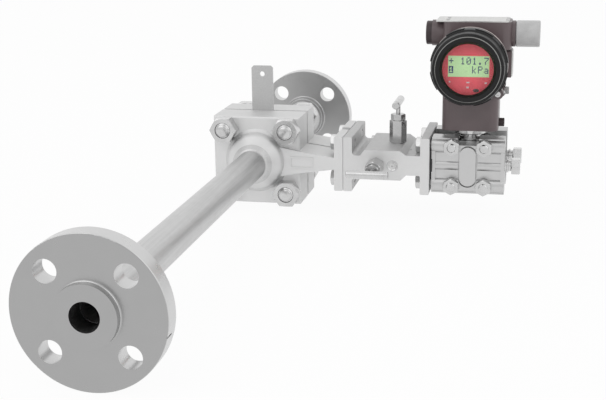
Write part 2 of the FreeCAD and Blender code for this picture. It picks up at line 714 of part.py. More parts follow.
def arm_gaskets():
    """Gaskets seated in recesses of the manifold's left face."""
    gaskets = []
    for y in (-PORT_OFFSET, PORT_OFFSET):
        gaskets.append(ring(PORT_GASKET_INNER_RADIUS, PORT_GASKET_OUTER_RADIUS, vec(ARM_FLANGE_FACE, y, 0),
                            AXIS_X, PORT_GASKET_THICK))
    return group(gaskets)


def arm_bolts():
    length = ARM_FLANGE_THICK + ARM_JOINT_GAP + MANIFOLD_FLANGE - BOLT_TIP / 2
    bolts = []
    for place in port_bolt_places(ARM_FLANGE_FACE - ARM_FLANGE_THICK):
        bolts.append(hex_bolt(place, AXIS_X, length, AXIS_Z))
    return group(bolts)


def transmitter_bolts():
    length = MANIFOLD_FLANGE + TRANSMITTER_JOINT_GAP + TAPPED_DEPTH - BOLT_TIP
    bolts = []
    for place in port_bolt_places(MANIFOLD_RIGHT_INNER):
        bolts.append(hex_bolt(place, AXIS_X, length, AXIS_Z))
    return group(bolts)


def manifold_outline():
    left = MANIFOLD_LEFT_HALF_HEIGHT
    right = MANIFOLD_RIGHT_HALF_HEIGHT
    return [(MANIFOLD_START, -left, ARM_FLANGE_EDGE), (MANIFOLD_LEFT_INNER, -left, ARM_FLANGE_EDGE),
            (MANIFOLD_LEFT_INNER, MANIFOLD_BOTTOM, NECK_RADIUS),
            (MANIFOLD_TOP_END + 1, MANIFOLD_BOTTOM), (MANIFOLD_NECK_START, MANIFOLD_NECK_BOTTOM),
            (MANIFOLD_RIGHT_INNER, MANIFOLD_NECK_BOTTOM, NECK_RADIUS),
            (MANIFOLD_RIGHT_INNER, -right, ARM_FLANGE_EDGE), (MANIFOLD_END, -right, ARM_FLANGE_EDGE),
            (MANIFOLD_END, right, ARM_FLANGE_EDGE), (MANIFOLD_RIGHT_INNER, right, ARM_FLANGE_EDGE),
            (MANIFOLD_RIGHT_INNER, MANIFOLD_NECK_TOP),
            (MANIFOLD_NECK_START, MANIFOLD_NECK_TOP), (MANIFOLD_TOP_END, MANIFOLD_TOP),
            (MANIFOLD_TOP_START, MANIFOLD_TOP), (MANIFOLD_NOTCH_END, MANIFOLD_NOTCH_FLOOR, 2.0),
            (MANIFOLD_LEFT_INNER, MANIFOLD_NOTCH_FLOOR, NOTCH_RADIUS),
            (MANIFOLD_LEFT_INNER, left, ARM_FLANGE_EDGE), (MANIFOLD_START, left, ARM_FLANGE_EDGE)]


def valve_bore(start, inward, reach):
    """Bonnet bore and seat bore cut from a manifold face to a passage."""
    bore = cylinder(VALVE_STUB_RADIUS + THREAD_CLEARANCE, start, inward, VALVE_BORE_DEPTH)
    return bore.fuse(cylinder(SEAT_BORE / 2, start, inward, reach))


def manifold_body():
    """Machined block with flanges at both ends, two passages and a cross drilling."""
    width = MANIFOLD_HALF_WIDTH
    body = extruded_along_y(manifold_outline(), -width, width)
    cuts = []
    for y in (-PORT_OFFSET, PORT_OFFSET):
        cuts.append(cylinder(PASSAGE_RADIUS, vec(MANIFOLD_START, y, 0), AXIS_X,
                             MANIFOLD_END - MANIFOLD_START))
        cuts.append(port_recess(MANIFOLD_START, PORT_GASKET_THICK - ARM_JOINT_GAP, 1, y))
    cuts.append(cylinder(CROSS_DRILL / 2, vec(CROSS_DRILL_X, -width, 0), AXIS_Y, width + PORT_OFFSET))
    cuts.append(cylinder(PLUG_RADIUS - PLUG_RIM + THREAD_CLEARANCE, vec(CROSS_DRILL_X, -width, 0), AXIS_Y,
                         PLUG_DEPTH))
    cuts.append(valve_bore(vec(CROSS_DRILL_X, 0, MANIFOLD_TOP), vec(0, 0, -1), MANIFOLD_TOP))
    cuts.append(valve_bore(vec(SIDE_VALVE_X, -width, 0), AXIS_Y, width - PORT_OFFSET))
    cuts.append(valve_bore(vec(SIDE_VALVE_X, width, 0), vec(0, -1, 0), width - PORT_OFFSET))
    for place in port_bolt_places(MANIFOLD_START):
        cuts.append(cylinder(BOLT_RADIUS + THREAD_CLEARANCE, place, AXIS_X, MANIFOLD_FLANGE))
    for place in port_bolt_places(MANIFOLD_RIGHT_INNER):
        cuts.append(cylinder(BOLT_RADIUS + BOLT_HOLE_CLEARANCE, place, AXIS_X, MANIFOLD_FLANGE))
    pin = LOCK_PIN_DIAMETER / 2
    left_slope = vec((MANIFOLD_NOTCH_END + MANIFOLD_TOP_START) / 2, -LOCK_PIN_OFFSET,
                     (MANIFOLD_NOTCH_FLOOR + MANIFOLD_TOP) / 2)
    right_slope = vec(MANIFOLD_NECK_START + LOCK_PIN_DIAMETER, -LOCK_PIN_OFFSET, MANIFOLD_NECK_TOP)
    cuts.append(cylinder(pin, left_slope.add(vec(-1, 0, 1)), vec(1, 0, -1), LOCK_PIN_DEPTH))
    cuts.append(cylinder(pin, right_slope.add(vec(1, 0, 1)), vec(-1, 0, -1), LOCK_PIN_DEPTH))
    return body.cut(cuts)


def manifold_plug():
    """Round plug with a rim and a socket that closes the cross drilling."""
    start = vec(CROSS_DRILL_X, -MANIFOLD_HALF_WIDTH, 0)
    shank = cylinder(PLUG_RADIUS - PLUG_RIM, start, AXIS_Y, PLUG_DEPTH - 0.5)
    rim = turned([(0, 0), (PLUG_RADIUS, 0), (PLUG_RADIUS - 0.4, PLUG_STANDOUT),
                  (PLUG_RADIUS - PLUG_RIM, PLUG_STANDOUT), (PLUG_RADIUS - PLUG_RIM - 0.8, 0.2),
                  (PLUG_SOCKET_RADIUS + 0.8, 0.2), (PLUG_SOCKET_RADIUS + 0.6, PLUG_STANDOUT),
                  (0, PLUG_STANDOUT)], start, vec(0, -1, 0))
    socket = cylinder(PLUG_SOCKET_RADIUS / 2, start.sub(vec(0, PLUG_STANDOUT, 0)), AXIS_Y,
                      PLUG_SOCKET_DEPTH)
    return shank.fuse(rim).removeSplitter().cut(socket)


class Valve:
    """One needle valve, laid out from the manifold face where its bonnet seats."""

    def __init__(self, face, axis, bar_direction, bar_shift, reach):
        self.face = face
        self.axis = axis
        self.bar_direction = bar_direction
        self.bar_shift = bar_shift
        self.reach = reach

    def along(self, distance):
        return self.face.add(FreeCAD.Vector(self.axis).multiply(distance))

    def bonnet(self):
        bottom = VALVE_STUB_SHORT - VALVE_BORE_DEPTH
        stub = cylinder(VALVE_STUB_RADIUS, self.along(bottom), self.axis, -bottom)
        body = hex_body(BONNET_FLATS, self.face, self.axis, BONNET_LENGTH, self.bar_direction)
        wide = STEM_THREAD_DIAMETER / 2 + STEM_RUNNING_FIT
        wide_top = STEM_FOOT + STEM_THREAD_LENGTH + STEM_LIFT_ROOM
        packing = STEM_RADIUS + PACKING_WALL + PACKING_CLEARANCE
        whole = body.fuse(stub).removeSplitter()
        return whole.cut([cylinder(wide, self.along(bottom), self.axis, wide_top - bottom),
                          cylinder(STEM_RADIUS + STEM_RUNNING_FIT, self.face, self.axis, BONNET_LENGTH),
                          cylinder(packing, self.along(BONNET_LENGTH - PACKING_LENGTH), self.axis,
                                   PACKING_LENGTH)])

    def gland_nut(self):
        nut = hex_nut(GLAND_FLATS, STEM_RADIUS + STEM_RUNNING_FIT, self.along(BONNET_LENGTH), self.axis,
                      GLAND_LENGTH, self.bar_direction)
        return nut

    def packing(self):
        inner = STEM_RADIUS + STEM_RUNNING_FIT
        return ring(inner, STEM_RADIUS + PACKING_WALL, self.along(BONNET_LENGTH - PACKING_LENGTH),
                    self.axis,
                    PACKING_LENGTH)

    def needle(self):
        head_top = STEM_FOOT - NEEDLE_GAP
        head = STEM_THREAD_DIAMETER / 2 - STEM_RUNNING_FIT
        shank = NEEDLE_DIAMETER / 2
        tip = NEEDLE_SEAT_CLEARANCE - self.reach
        return turned([(0, tip), (0.6, tip), (shank, tip + NEEDLE_CONE),
                       (shank, head_top - NEEDLE_HEAD_LENGTH),
                       (head, head_top - NEEDLE_HEAD_LENGTH + 1), (head, head_top), (0, head_top)],
                      self.face, self.axis)

    def stem(self):
        thread = STEM_THREAD_DIAMETER / 2
        thread_top = STEM_FOOT + STEM_THREAD_LENGTH
        top = T_BAR_DISTANCE + T_BAR_STEM_SEAT
        return turned([(0, STEM_FOOT), (thread, STEM_FOOT), (thread, thread_top), (STEM_RADIUS, thread_top),
                       (STEM_RADIUS, top), (0, top)], self.face, self.axis)

    def t_bar(self):
        radius = T_BAR_DIAMETER / 2
        end = T_BAR_LENGTH
        groove = end - T_BAR_GROOVE_INSET
        shift = FreeCAD.Vector(self.bar_direction).multiply(self.bar_shift - T_BAR_LENGTH / 2)
        start = self.along(T_BAR_DISTANCE).add(shift)
        bar = turned([(0, 0), (radius, 0, T_BAR_END), (radius, groove - T_BAR_GROOVE),
                      (radius - 0.5, groove - T_BAR_GROOVE), (radius - 0.5, groove), (radius, groove),
                      (radius, end, T_BAR_END), (0, end)], start, self.bar_direction)
        seat_top = T_BAR_DISTANCE + T_BAR_STEM_SEAT
        seat_length = T_BAR_STEM_SEAT + radius
        seat = cylinder(STEM_RADIUS, self.along(seat_top - seat_length), self.axis, seat_length)
        return bar.cut(seat)


def valves():
    """The three valves by name, each with the direction in which its T-bar lies."""
    width = MANIFOLD_HALF_WIDTH
    equalizer = Valve(vec(CROSS_DRILL_X, 0, MANIFOLD_TOP), AXIS_Z, vec(0, -1, 0), 0, MANIFOLD_TOP)
    high_side = Valve(vec(SIDE_VALVE_X, -width, 0), vec(0, -1, 0), AXIS_X, -SIDE_T_BAR_SHIFT,
                      width - PORT_OFFSET)
    low_side = Valve(vec(SIDE_VALVE_X, width, 0), AXIS_Y, AXIS_X, -SIDE_T_BAR_SHIFT, width - PORT_OFFSET)
    return {"equalizer": equalizer, "high_side": high_side, "low_side": low_side}


def stadium(margin, face, root):
    """Upright round-ended pad on the middle of the process flange, widened by a margin."""
    half = PROCESS_STADIUM_WIDTH / 2 + margin
    reach = PROCESS_STADIUM_HEIGHT / 2 + margin
    left = TRANSMITTER_X - half
    right = TRANSMITTER_X + half
    bend = half - 0.01
    return extruded_along_y([(left, -reach, bend), (right, -reach, bend), (right, reach, bend),
                             (left, reach, bend)], -face - margin, -root)


def process_flange():
    """Ribbed cover flange on the front of the sensor module."""
    low = PROCESS_LOW_X
    high = PROCESS_HIGH_X
    top = PROCESS_HALF_HEIGHT
    plate = box(vec(low, -PROCESS_PANEL_FACE, -top), vec(high, -PROCESS_INNER_FACE, top))
    pieces = []
    lobe_y = PROCESS_LOBE_RADIUS - PROCESS_LOBE_FACE
    for z in (-PROCESS_BOLT_Z, PROCESS_BOLT_Z):
        pieces.append(cylinder(PROCESS_LOBE_RADIUS, vec(low, lobe_y, z), AXIS_X, PROCESS_FLANGE_LENGTH))
    band_y = PROCESS_BAND_RADIUS - PROCESS_BAND_FACE
    pieces.append(cylinder(PROCESS_BAND_RADIUS, vec(low, band_y, 0), AXIS_X, PROCESS_FLANGE_LENGTH))
    pad_top = PROCESS_BOLT_Z
    for x in (low, high - PROCESS_END_PAD):
        pieces.append(box(vec(x, -PROCESS_BAND_FACE, -pad_top),
                          vec(x + PROCESS_END_PAD, -PROCESS_PANEL_FACE, pad_top)))
    body = plate.fuse(pieces).cut(stadium(PROCESS_GROOVE_WIDTH, PROCESS_LOBE_FACE, PROCESS_GROOVE_FLOOR))
    body = body.fuse(stadium(0, PROCESS_STADIUM_FACE, PROCESS_INNER_FACE)).removeSplitter()
    notch = PROCESS_NOTCH_WIDTH / 2
    cuts = [box(vec(TRANSMITTER_X - notch, -PROCESS_LOBE_FACE - 1, top - PROCESS_NOTCH_DEPTH),
                vec(TRANSMITTER_X + notch, 0, top + 1))]
    for place in process_bolt_places(0):
        cuts.append(cylinder(BOLT_RADIUS + BOLT_HOLE_CLEARANCE, place, vec(0, -1, 0), PROCESS_LOBE_FACE))
    spotface = BOLT_FLATS / math.sqrt(3) + SPOTFACE_MARGIN
    for place in process_bolt_places(-PROCESS_SEAT_FACE):
        cuts.append(cylinder(spotface, place, vec(0, -1, 0), SPOTFACE_DEPTH + 1))
    for z in (-PORT_BOLT_OFFSET, PORT_BOLT_OFFSET):
        cuts.append(cylinder(BOLT_RADIUS + THREAD_CLEARANCE, vec(low, -PORT_OFFSET, z), AXIS_X,
                             TAPPED_DEPTH))
    cuts.append(cylinder(PASSAGE_RADIUS, vec(low, -PORT_OFFSET, 0), AXIS_X, PROCESS_FLANGE_LENGTH))
    cuts.append(port_recess(low, PORT_GASKET_THICK - TRANSMITTER_JOINT_GAP, 1, -PORT_OFFSET))
    cuts.append(cylinder(CHAMBER_PASSAGE / 2, vec(TRANSMITTER_X, 0, 0), vec(0, -1, 0), PORT_OFFSET))
    cuts.append(cylinder(CHAMBER_RADIUS, vec(TRANSMITTER_X, 0, 0), vec(0, -1, 0),
                         PROCESS_INNER_FACE + CHAMBER_DEPTH))
    cuts.append(cylinder(CHAMBER_RADIUS + PROCESS_GASKET_WIDTH, vec(TRANSMITTER_X, 0, 0), vec(0, -1, 0),
                         MODULE_HALF_THICK + PROCESS_GASKET_THICK))
    cuts.append(cylinder(VENT_SEAT_RADIUS + THREAD_CLEARANCE, vec(high, -PORT_OFFSET, 0), vec(-1, 0, 0),
                         VENT_SEAT_DEPTH))
    return body.cut(cuts)


def transmitter_gaskets():
    """Gaskets seated in recesses of the process flanges' left faces."""
    gaskets = []
    for y in (-PORT_OFFSET, PORT_OFFSET):
        gaskets.append(ring(PORT_GASKET_INNER_RADIUS, PORT_GASKET_OUTER_RADIUS, vec(MANIFOLD_END, y, 0),
                            AXIS_X, PORT_GASKET_THICK))
    return group(gaskets)


def process_gaskets():
    gasket = ring(CHAMBER_RADIUS, CHAMBER_RADIUS + PROCESS_GASKET_WIDTH,
                  vec(TRANSMITTER_X, -MODULE_HALF_THICK, 0),
                  vec(0, -1, 0), PROCESS_GASKET_THICK)
    return group([gasket, other_side(gasket)])


def sensor_module():
    """Round sensor body between the process flanges, with its neck, collar and swivel spigot."""
    disc = turned([(0, -MODULE_HALF_THICK), (MODULE_RADIUS, -MODULE_HALF_THICK, 1.0),
                   (MODULE_RADIUS, MODULE_HALF_THICK, 1.0), (0, MODULE_HALF_THICK)],
                  vec(TRANSMITTER_X, 0, 0), AXIS_Y)
    neck = turned([(0, 0), (MODULE_NECK_RADIUS, 0), (MODULE_NECK_RADIUS, COLLAR_BOTTOM),
                   (MODULE_COLLAR_RADIUS, COLLAR_BOTTOM, 1.0), (MODULE_COLLAR_RADIUS, COLLAR_TOP),
                   (MODULE_SPIGOT_RADIUS, COLLAR_TOP),
                   (MODULE_SPIGOT_RADIUS, COLLAR_TOP + MODULE_SPIGOT_HEIGHT, 1.0),
                   (0, COLLAR_TOP + MODULE_SPIGOT_HEIGHT)], vec(TRANSMITTER_X, 0, 0), AXIS_Z)
    return disc.fuse(neck).removeSplitter()


def process_bolts():
    """Bolts with heads on the rear flange and nuts on the front flange."""
    length = 2 * PROCESS_SEAT_FACE + NUT_HEIGHT + NUT_BOLT_STANDOUT
    bolts = []
    for place in process_bolt_places(PROCESS_SEAT_FACE):
        bolts.append(hex_bolt(place, vec(0, -1, 0), length, AXIS_X))
    return group(bolts)


def process_nuts():
    nuts = []
    for place in process_bolt_places(-PROCESS_SEAT_FACE):
        nuts.append(hex_nut(BOLT_FLATS, BOLT_RADIUS + THREAD_CLEARANCE, place, vec(0, -1, 0), NUT_HEIGHT,
                            AXIS_X))
    return group(nuts)


def vent_seats():
    """Threaded necks that stand out of the vent ports."""
    seats = []
    bore = VENT_STEM_RADIUS + STEM_RUNNING_FIT
    length = VENT_SEAT_DEPTH + VENT_NECK_LENGTH
    ring_low = VENT_SEAT_DEPTH + VENT_RING_INSET
    ring_high = ring_low + VENT_RING_THICK
    for y in (-PORT_OFFSET, PORT_OFFSET):
        seats.append(turned([(bore, 0), (VENT_SEAT_RADIUS, 0), (VENT_SEAT_RADIUS, ring_low),
                             (VENT_RING_RADIUS, ring_low, 0.5), (VENT_RING_RADIUS, ring_high, 0.5),
                             (VENT_SEAT_RADIUS, ring_high), (VENT_SEAT_RADIUS, length, 0.6),
                             (bore, length)],
                            vec(PROCESS_HIGH_X - VENT_SEAT_DEPTH, y, 0), AXIS_X))
    return group(seats)


def vent_screw(y):
    """Hexagon cap with the closing stem that runs down the vent seat."""
    start = vec(PROCESS_HIGH_X + VENT_NECK_LENGTH + VENT_CAP_GAP, y, 0)
    cap = hex_body(VENT_CAP_FLATS, start, AXIS_X, VENT_CAP_LENGTH, AXIS_Z)
    stem = turned([(0, 1), (VENT_STEM_RADIUS, 1), (VENT_STEM_RADIUS, 3 - VENT_STEM_LENGTH),
                   (0.5, -VENT_STEM_LENGTH), (0, -VENT_STEM_LENGTH)], start, AXIS_X)
    return cap.fuse(stem).removeSplitter()


def barrel_point(distance_y):
    return vec(TRANSMITTER_X, distance_y, BARREL_AXIS_Z)


def housing_outer():
    """Outer form: vertical neck, barrel with threaded ends, cross body and conduit bosses."""
    low = TRANSMITTER_X - HOUSING_WALL_RADIUS
    high = TRANSMITTER_X + HOUSING_WALL_RADIUS
    corners = [(low, -NECK_HALF_DEPTH, NECK_CORNER), (high, -NECK_HALF_DEPTH, NECK_CORNER),
               (high, NECK_HALF_DEPTH, NECK_CORNER), (low, NECK_HALF_DEPTH, NECK_CORNER)]
    foot = Part.Face(outline(corners, lambda x, y: vec(x, y, HOUSING_BOTTOM)))
    neck = foot.extrude(vec(0, 0, BARREL_AXIS_Z - HOUSING_BOTTOM))
    barrel = cylinder(BARREL_RADIUS, barrel_point(-BARREL_HALF_LENGTH), AXIS_Y, 2 * BARREL_HALF_LENGTH)
    spigot = cylinder(SPIGOT_RADIUS, barrel_point(-SPIGOT_END), AXIS_Y, 2 * SPIGOT_END)
    side = CROSS_BODY_HALF_WIDTH
    cross = box(vec(CROSS_BODY_LOW_X, -side, CROSS_BODY_BOTTOM), vec(CROSS_BODY_HIGH_X, side, HOUSING_TOP))
    upright = []
    for edge in cross.Edges:
        first, last = edge.Vertexes
        if abs(first.Z - last.Z) > 1:
            upright.append(edge)
    cross = cross.makeFillet(CROSS_BODY_EDGE, upright)
    bosses = cylinder(CONDUIT_BOSS_RADIUS, vec(CONDUIT_LEFT_FACE, 0, CONDUIT_AXIS_Z), AXIS_X,
                      CONDUIT_RIGHT_FACE - CONDUIT_LEFT_FACE)
    pad = box(vec(TRANSMITTER_X, -SIDE_PAD_HALF_WIDTH, SIDE_PAD_LOW),
              vec(SIDE_PAD_FACE, SIDE_PAD_HALF_WIDTH, SIDE_PAD_HIGH))
    ground = cylinder(GROUND_BOSS_RADIUS, vec(TRANSMITTER_X, GROUND_Y, GROUND_Z), AXIS_X,
                      GROUND_BOSS_FACE - TRANSMITTER_X)
    shapes = [barrel, spigot, cross, bosses, pad, ground]
    for side_sign in (-1, 1):
        place = lock_screw_place(side_sign)
        shapes.append(cylinder(LOCK_BOSS_RADIUS, place, vec(0, -side_sign, 0), LOCK_BOSS_LENGTH))
    return neck.fuse(shapes).removeSplitter()


def lock_screw_place(side_sign):
    """Middle of a cover lock screw's seat, beside the barrel's end."""
    angle = math.radians(LOCK_SCREW_ANGLE)
    return vec(TRANSMITTER_X + LOCK_SCREW_CIRCLE * math.cos(angle), side_sign * BARREL_HALF_LENGTH,
               BARREL_AXIS_Z + LOCK_SCREW_CIRCLE * math.sin(angle))


def seal_rings():
    """Ring seals at the root of both threaded ends."""
    rings = []
    path = SPIGOT_RADIUS - SEAL_SECTION_RADIUS + SEAL_STANDOUT
    for side_sign in (-1, 1):
        place = barrel_point(side_sign * (COVER_REAR_EDGE + SEAL_INSET))
        rings.append(Part.makeTorus(path, SEAL_SECTION_RADIUS, place, AXIS_Y))
    return rings


def seal_grooves():
    grooves = []
    depth = 2 * SEAL_SECTION_RADIUS
    for side_sign in (-1, 1):
        centre = side_sign * (COVER_REAR_EDGE + SEAL_INSET)
        start = barrel_point(centre - SEAL_SECTION_RADIUS - JOINT_GAP)
        width = 2 * (SEAL_SECTION_RADIUS + JOINT_GAP)
        grooves.append(ring(SPIGOT_RADIUS - depth, SPIGOT_RADIUS + 1, start, AXIS_Y, width))
    return grooves


def standoff_places():
    places = []
    for x in (-STANDOFF_X, STANDOFF_X):
        for z in (-STANDOFF_Z, STANDOFF_Z):
            places.append(barrel_point(-COMPARTMENT_WALL_HALF).add(vec(x, 0, z)))
    return places


def housing():
    """Painted casting with a display compartment in front and a terminal compartment behind."""
    body = housing_outer()
    depth = SPIGOT_END - COMPARTMENT_WALL_HALF
    cuts = [cylinder(COMPARTMENT_RADIUS, barrel_point(-SPIGOT_END), AXIS_Y, depth),
            cylinder(COMPARTMENT_RADIUS, barrel_point(COMPARTMENT_WALL_HALF), AXIS_Y, depth),
            cylinder(MODULE_SPIGOT_RADIUS + NECK_RUNNING_FIT, vec(TRANSMITTER_X, 0, HOUSING_BOTTOM), AXIS_Z,
                     NECK_BORE_TOP - HOUSING_BOTTOM),
            cylinder(WIRE_PASSAGE_RADIUS, vec(TRANSMITTER_X, 0, HOUSING_BOTTOM), AXIS_Z,
                     BARREL_AXIS_Z - COMPARTMENT_RADIUS / 2 - HOUSING_BOTTOM),
            cylinder(CONDUIT_HOLE_RADIUS, vec(CONDUIT_LEFT_FACE, 0, CONDUIT_AXIS_Z), AXIS_X,
                     CONDUIT_RIGHT_FACE - CONDUIT_LEFT_FACE),
            cylinder(SET_SCREW_SHANK_RADIUS + THREAD_CLEARANCE, vec(TRANSMITTER_X, 0, SET_SCREW_Z), AXIS_X,
                     2 * HOUSING_WALL_RADIUS),
            cylinder(GROUND_SHANK_RADIUS + THREAD_CLEARANCE,
                     vec(GROUND_BOSS_FACE - GROUND_SHANK - 1, GROUND_Y, GROUND_Z), AXIS_X,
                     GROUND_SHANK + 2)]
    for side_sign in (-1, 1):
        cuts.append(cylinder(LOCK_SCREW_SHANK_RADIUS + THREAD_CLEARANCE, lock_screw_place(side_sign),
                             vec(0, -side_sign, 0), LOCK_SCREW_SHANK + 1))
    for place in nameplate_screw_places():
        cuts.append(cylinder(NAMEPLATE_SCREW_RADIUS / 2 + THREAD_CLEARANCE, place, vec(0, 0, -1),
                             NAMEPLATE_SCREW_DEPTH + 1))
    body = body.cut(cuts + seal_grooves())
    posts = [cylinder(STANDOFF_RADIUS, place, vec(0, -1, 0), STANDOFF_LENGTH)
             for place in standoff_places()]
    return body.fuse(posts).removeSplitter()


def cover_shell(face, inner_corners):
    """Turned cover around a threaded end, facing -Y, with shallow lugs round its widest part."""
    bore = SPIGOT_RADIUS + COVER_FIT
    lug_end = face - COVER_LUG_INSET
    lug_start = lug_end - COVER_LUG_LENGTH
    shell = turned([(bore, COVER_REAR_EDGE), (COVER_REAR_RADIUS, COVER_REAR_EDGE, 0.8),
                    (COVER_REAR_RADIUS, lug_end), (COVER_FRONT_RADIUS, face - COVER_TAPER_END),
                    (COVER_FRONT_RADIUS - COVER_TAPER, face, COVER_CORNER)] + inner_corners,
                   barrel_point(0), vec(0, -1, 0))
    lug_band = ring(COVER_REAR_RADIUS - COVER_LUG_ROOT, COVER_REAR_RADIUS + COVER_LUG_RISE,
                    barrel_point(-lug_end), AXIS_Y, COVER_LUG_LENGTH)
    slots = []
    reach = COVER_REAR_RADIUS + 5
    for i in range(COVER_LUG_COUNT // 2):
        slot = box(vec(TRANSMITTER_X - COVER_LUG_WIDTH / 2, -lug_end - 1, BARREL_AXIS_Z - reach),
                   vec(TRANSMITTER_X + COVER_LUG_WIDTH / 2, -lug_start + 1, BARREL_AXIS_Z + reach))
        slot.rotate(barrel_point(0), AXIS_Y, 360 * i / COVER_LUG_COUNT)
        slots.append(slot)
    return shell.fuse(lug_band.cut(slots)).removeSplitter()


def front_cover():
    """Display cover with a flared window opening and a seat for the glass."""
    bore = SPIGOT_RADIUS + COVER_FIT
    glass_back = WINDOW_FACE - WINDOW_THICK
    corners = [(WINDOW_FLARE_RADIUS, FRONT_COVER_FACE),
               (WINDOW_OPENING_RADIUS, WINDOW_FACE + WINDOW_FLARE_ROOT),
               (WINDOW_OPENING_RADIUS, WINDOW_FACE), (WINDOW_SEAT_RADIUS, WINDOW_FACE),
               (WINDOW_SEAT_RADIUS, glass_back), (bore, glass_back)]
    return cover_shell(FRONT_COVER_FACE, corners)


def cover_window():
    return cylinder(WINDOW_RADIUS, barrel_point(-WINDOW_FACE), AXIS_Y, WINDOW_THICK)


def rear_cover():
    """Blank cover of the terminal compartment, with a shallow dish in its face."""
    bore = SPIGOT_RADIUS + COVER_FIT
    inner = REAR_COVER_FACE - REAR_COVER_WALL
    dish = REAR_COVER_FACE - REAR_COVER_DISH_DEPTH
    corners = [(REAR_COVER_DISH_RADIUS, REAR_COVER_FACE),
               (REAR_COVER_DISH_RADIUS - REAR_COVER_DISH_DEPTH, dish),
               (0, dish), (0, inner), (bore, inner)]
    return other_side(cover_shell(REAR_COVER_FACE, corners))


def electronics_board():
    """Round board on the standoffs, with a row of parts on each side of its middle."""
    start = barrel_point(-BOARD_FACE)
    board = cylinder(BOARD_RADIUS, start, vec(0, -1, 0), BOARD_THICK)
    front = -BOARD_FACE - BOARD_THICK
    parts = []
    for shift in (-14, 0, 14):
        low = barrel_point(front - DISPLAY_BACK_GAP + 0.4).add(vec(shift - 4, 0, -4))
        parts.append(box(low, low.add(vec(8, DISPLAY_BACK_GAP, 8))))
    return board.fuse(parts).removeSplitter()


def screen_block(width, height, low_y, high_y):
    middle = BARREL_AXIS_Z + SCREEN_RISE
    return box(vec(TRANSMITTER_X - width / 2, low_y, middle - height / 2),
               vec(TRANSMITTER_X + width / 2, high_y, middle + height / 2))


def display_module():
    """Drum behind the dial with the screen standing up from its face."""
    back = BOARD_FACE + BOARD_THICK + DISPLAY_BACK_GAP
    front = DIAL_FACE - DIAL_THICK
    drum = cylinder(DISPLAY_RADIUS, barrel_point(-front), AXIS_Y, front - back)
    legs = []
    for place in standoff_places():
        foot = place.add(vec(0, COMPARTMENT_WALL_HALF - BOARD_FACE - BOARD_THICK, 0))
        legs.append(cylinder(STANDOFF_RADIUS, foot, vec(0, -1, 0), DISPLAY_BACK_GAP + 1))
    screen = screen_block(SCREEN_WIDTH, SCREEN_HEIGHT, -front - SCREEN_RAISE, -front + 1)
    return drum.fuse(legs + [screen]).removeSplitter()


def dial_plate():
    """Dial disc with a window for the screen."""
    plate = cylinder(DIAL_RADIUS, barrel_point(-DIAL_FACE), AXIS_Y, DIAL_THICK)
    width = SCREEN_WIDTH + 2 * SCREEN_CLEARANCE
    height = SCREEN_HEIGHT + 2 * SCREEN_CLEARANCE
    return plate.cut(screen_block(width, height, -DIAL_FACE - 1, -DIAL_FACE + DIAL_THICK + 1))


def terminal_block():
    """Moulded block with three terminal screws in the rear compartment."""
    start = barrel_point(COMPARTMENT_WALL_HALF)
    block = turned([(0, 0), (TERMINAL_BLOCK_RADIUS, 0), (TERMINAL_BLOCK_RADIUS, TERMINAL_BLOCK_THICK, 2.0),
                    (0, TERMINAL_BLOCK_THICK)], start, AXIS_Y)
    screws = []
    for i in (-1, 0, 1):
        place = start.add(vec(i * TERMINAL_SCREW_SPACING, TERMINAL_BLOCK_THICK - 1, 0))
        screws.append(cylinder(TERMINAL_SCREW_RADIUS, place, AXIS_Y, TERMINAL_SCREW_RISE + 1))
    return block.fuse(screws).removeSplitter()


def nameplate_screw_places():
    places = []
    for x in (CROSS_BODY_LOW_X + NAMEPLATE_SCREW_SIDE, CROSS_BODY_HIGH_X - NAMEPLATE_SCREW_SIDE):
        for y in (-NAMEPLATE_SCREW_INSET / 2, NAMEPLATE_SCREW_INSET / 2):
            places.append(vec(x, y, HOUSING_TOP))
    return places


def top_nameplate():
    low = NAMEPLATE_LOW_X
    high = NAMEPLATE_HIGH_X
    side = NAMEPLATE_HALF_WIDTH
    corners = [(low, -side, NAMEPLATE_CORNER), (high, -side, NAMEPLATE_CORNER),
               (high, side, NAMEPLATE_CORNER), (low, side, NAMEPLATE_CORNER)]
    face = Part.Face(outline(corners, lambda x, y: vec(x, y, HOUSING_TOP)))
    plate = face.extrude(vec(0, 0, NAMEPLATE_THICK))
    holes = []
    for place in nameplate_screw_places():
        holes.append(cylinder(NAMEPLATE_SCREW_RADIUS / 2 + THREAD_CLEARANCE, place, AXIS_Z,
                              NAMEPLATE_THICK))
    return plate.cut(holes)


def nameplate_screws():
    screws = []
    for place in nameplate_screw_places():
        screws.append(turned([(0, -NAMEPLATE_SCREW_DEPTH),
                              (NAMEPLATE_SCREW_RADIUS / 2, -NAMEPLATE_SCREW_DEPTH),
                              (NAMEPLATE_SCREW_RADIUS / 2, NAMEPLATE_THICK),
                              (NAMEPLATE_SCREW_RADIUS, NAMEPLATE_THICK),
                              (NAMEPLATE_SCREW_RADIUS, NAMEPLATE_THICK + NAMEPLATE_SCREW_RISE, 0.6),
                              (0, NAMEPLATE_THICK + NAMEPLATE_SCREW_RISE)], place, AXIS_Z))
    return group(screws)


def side_tag():
    margin = SIDE_TAG_MARGIN
    return box(vec(SIDE_PAD_FACE, margin - SIDE_PAD_HALF_WIDTH, SIDE_PAD_LOW + margin),
               vec(SIDE_PAD_FACE + SIDE_TAG_THICK, SIDE_PAD_HALF_WIDTH - margin, SIDE_PAD_HIGH - margin))


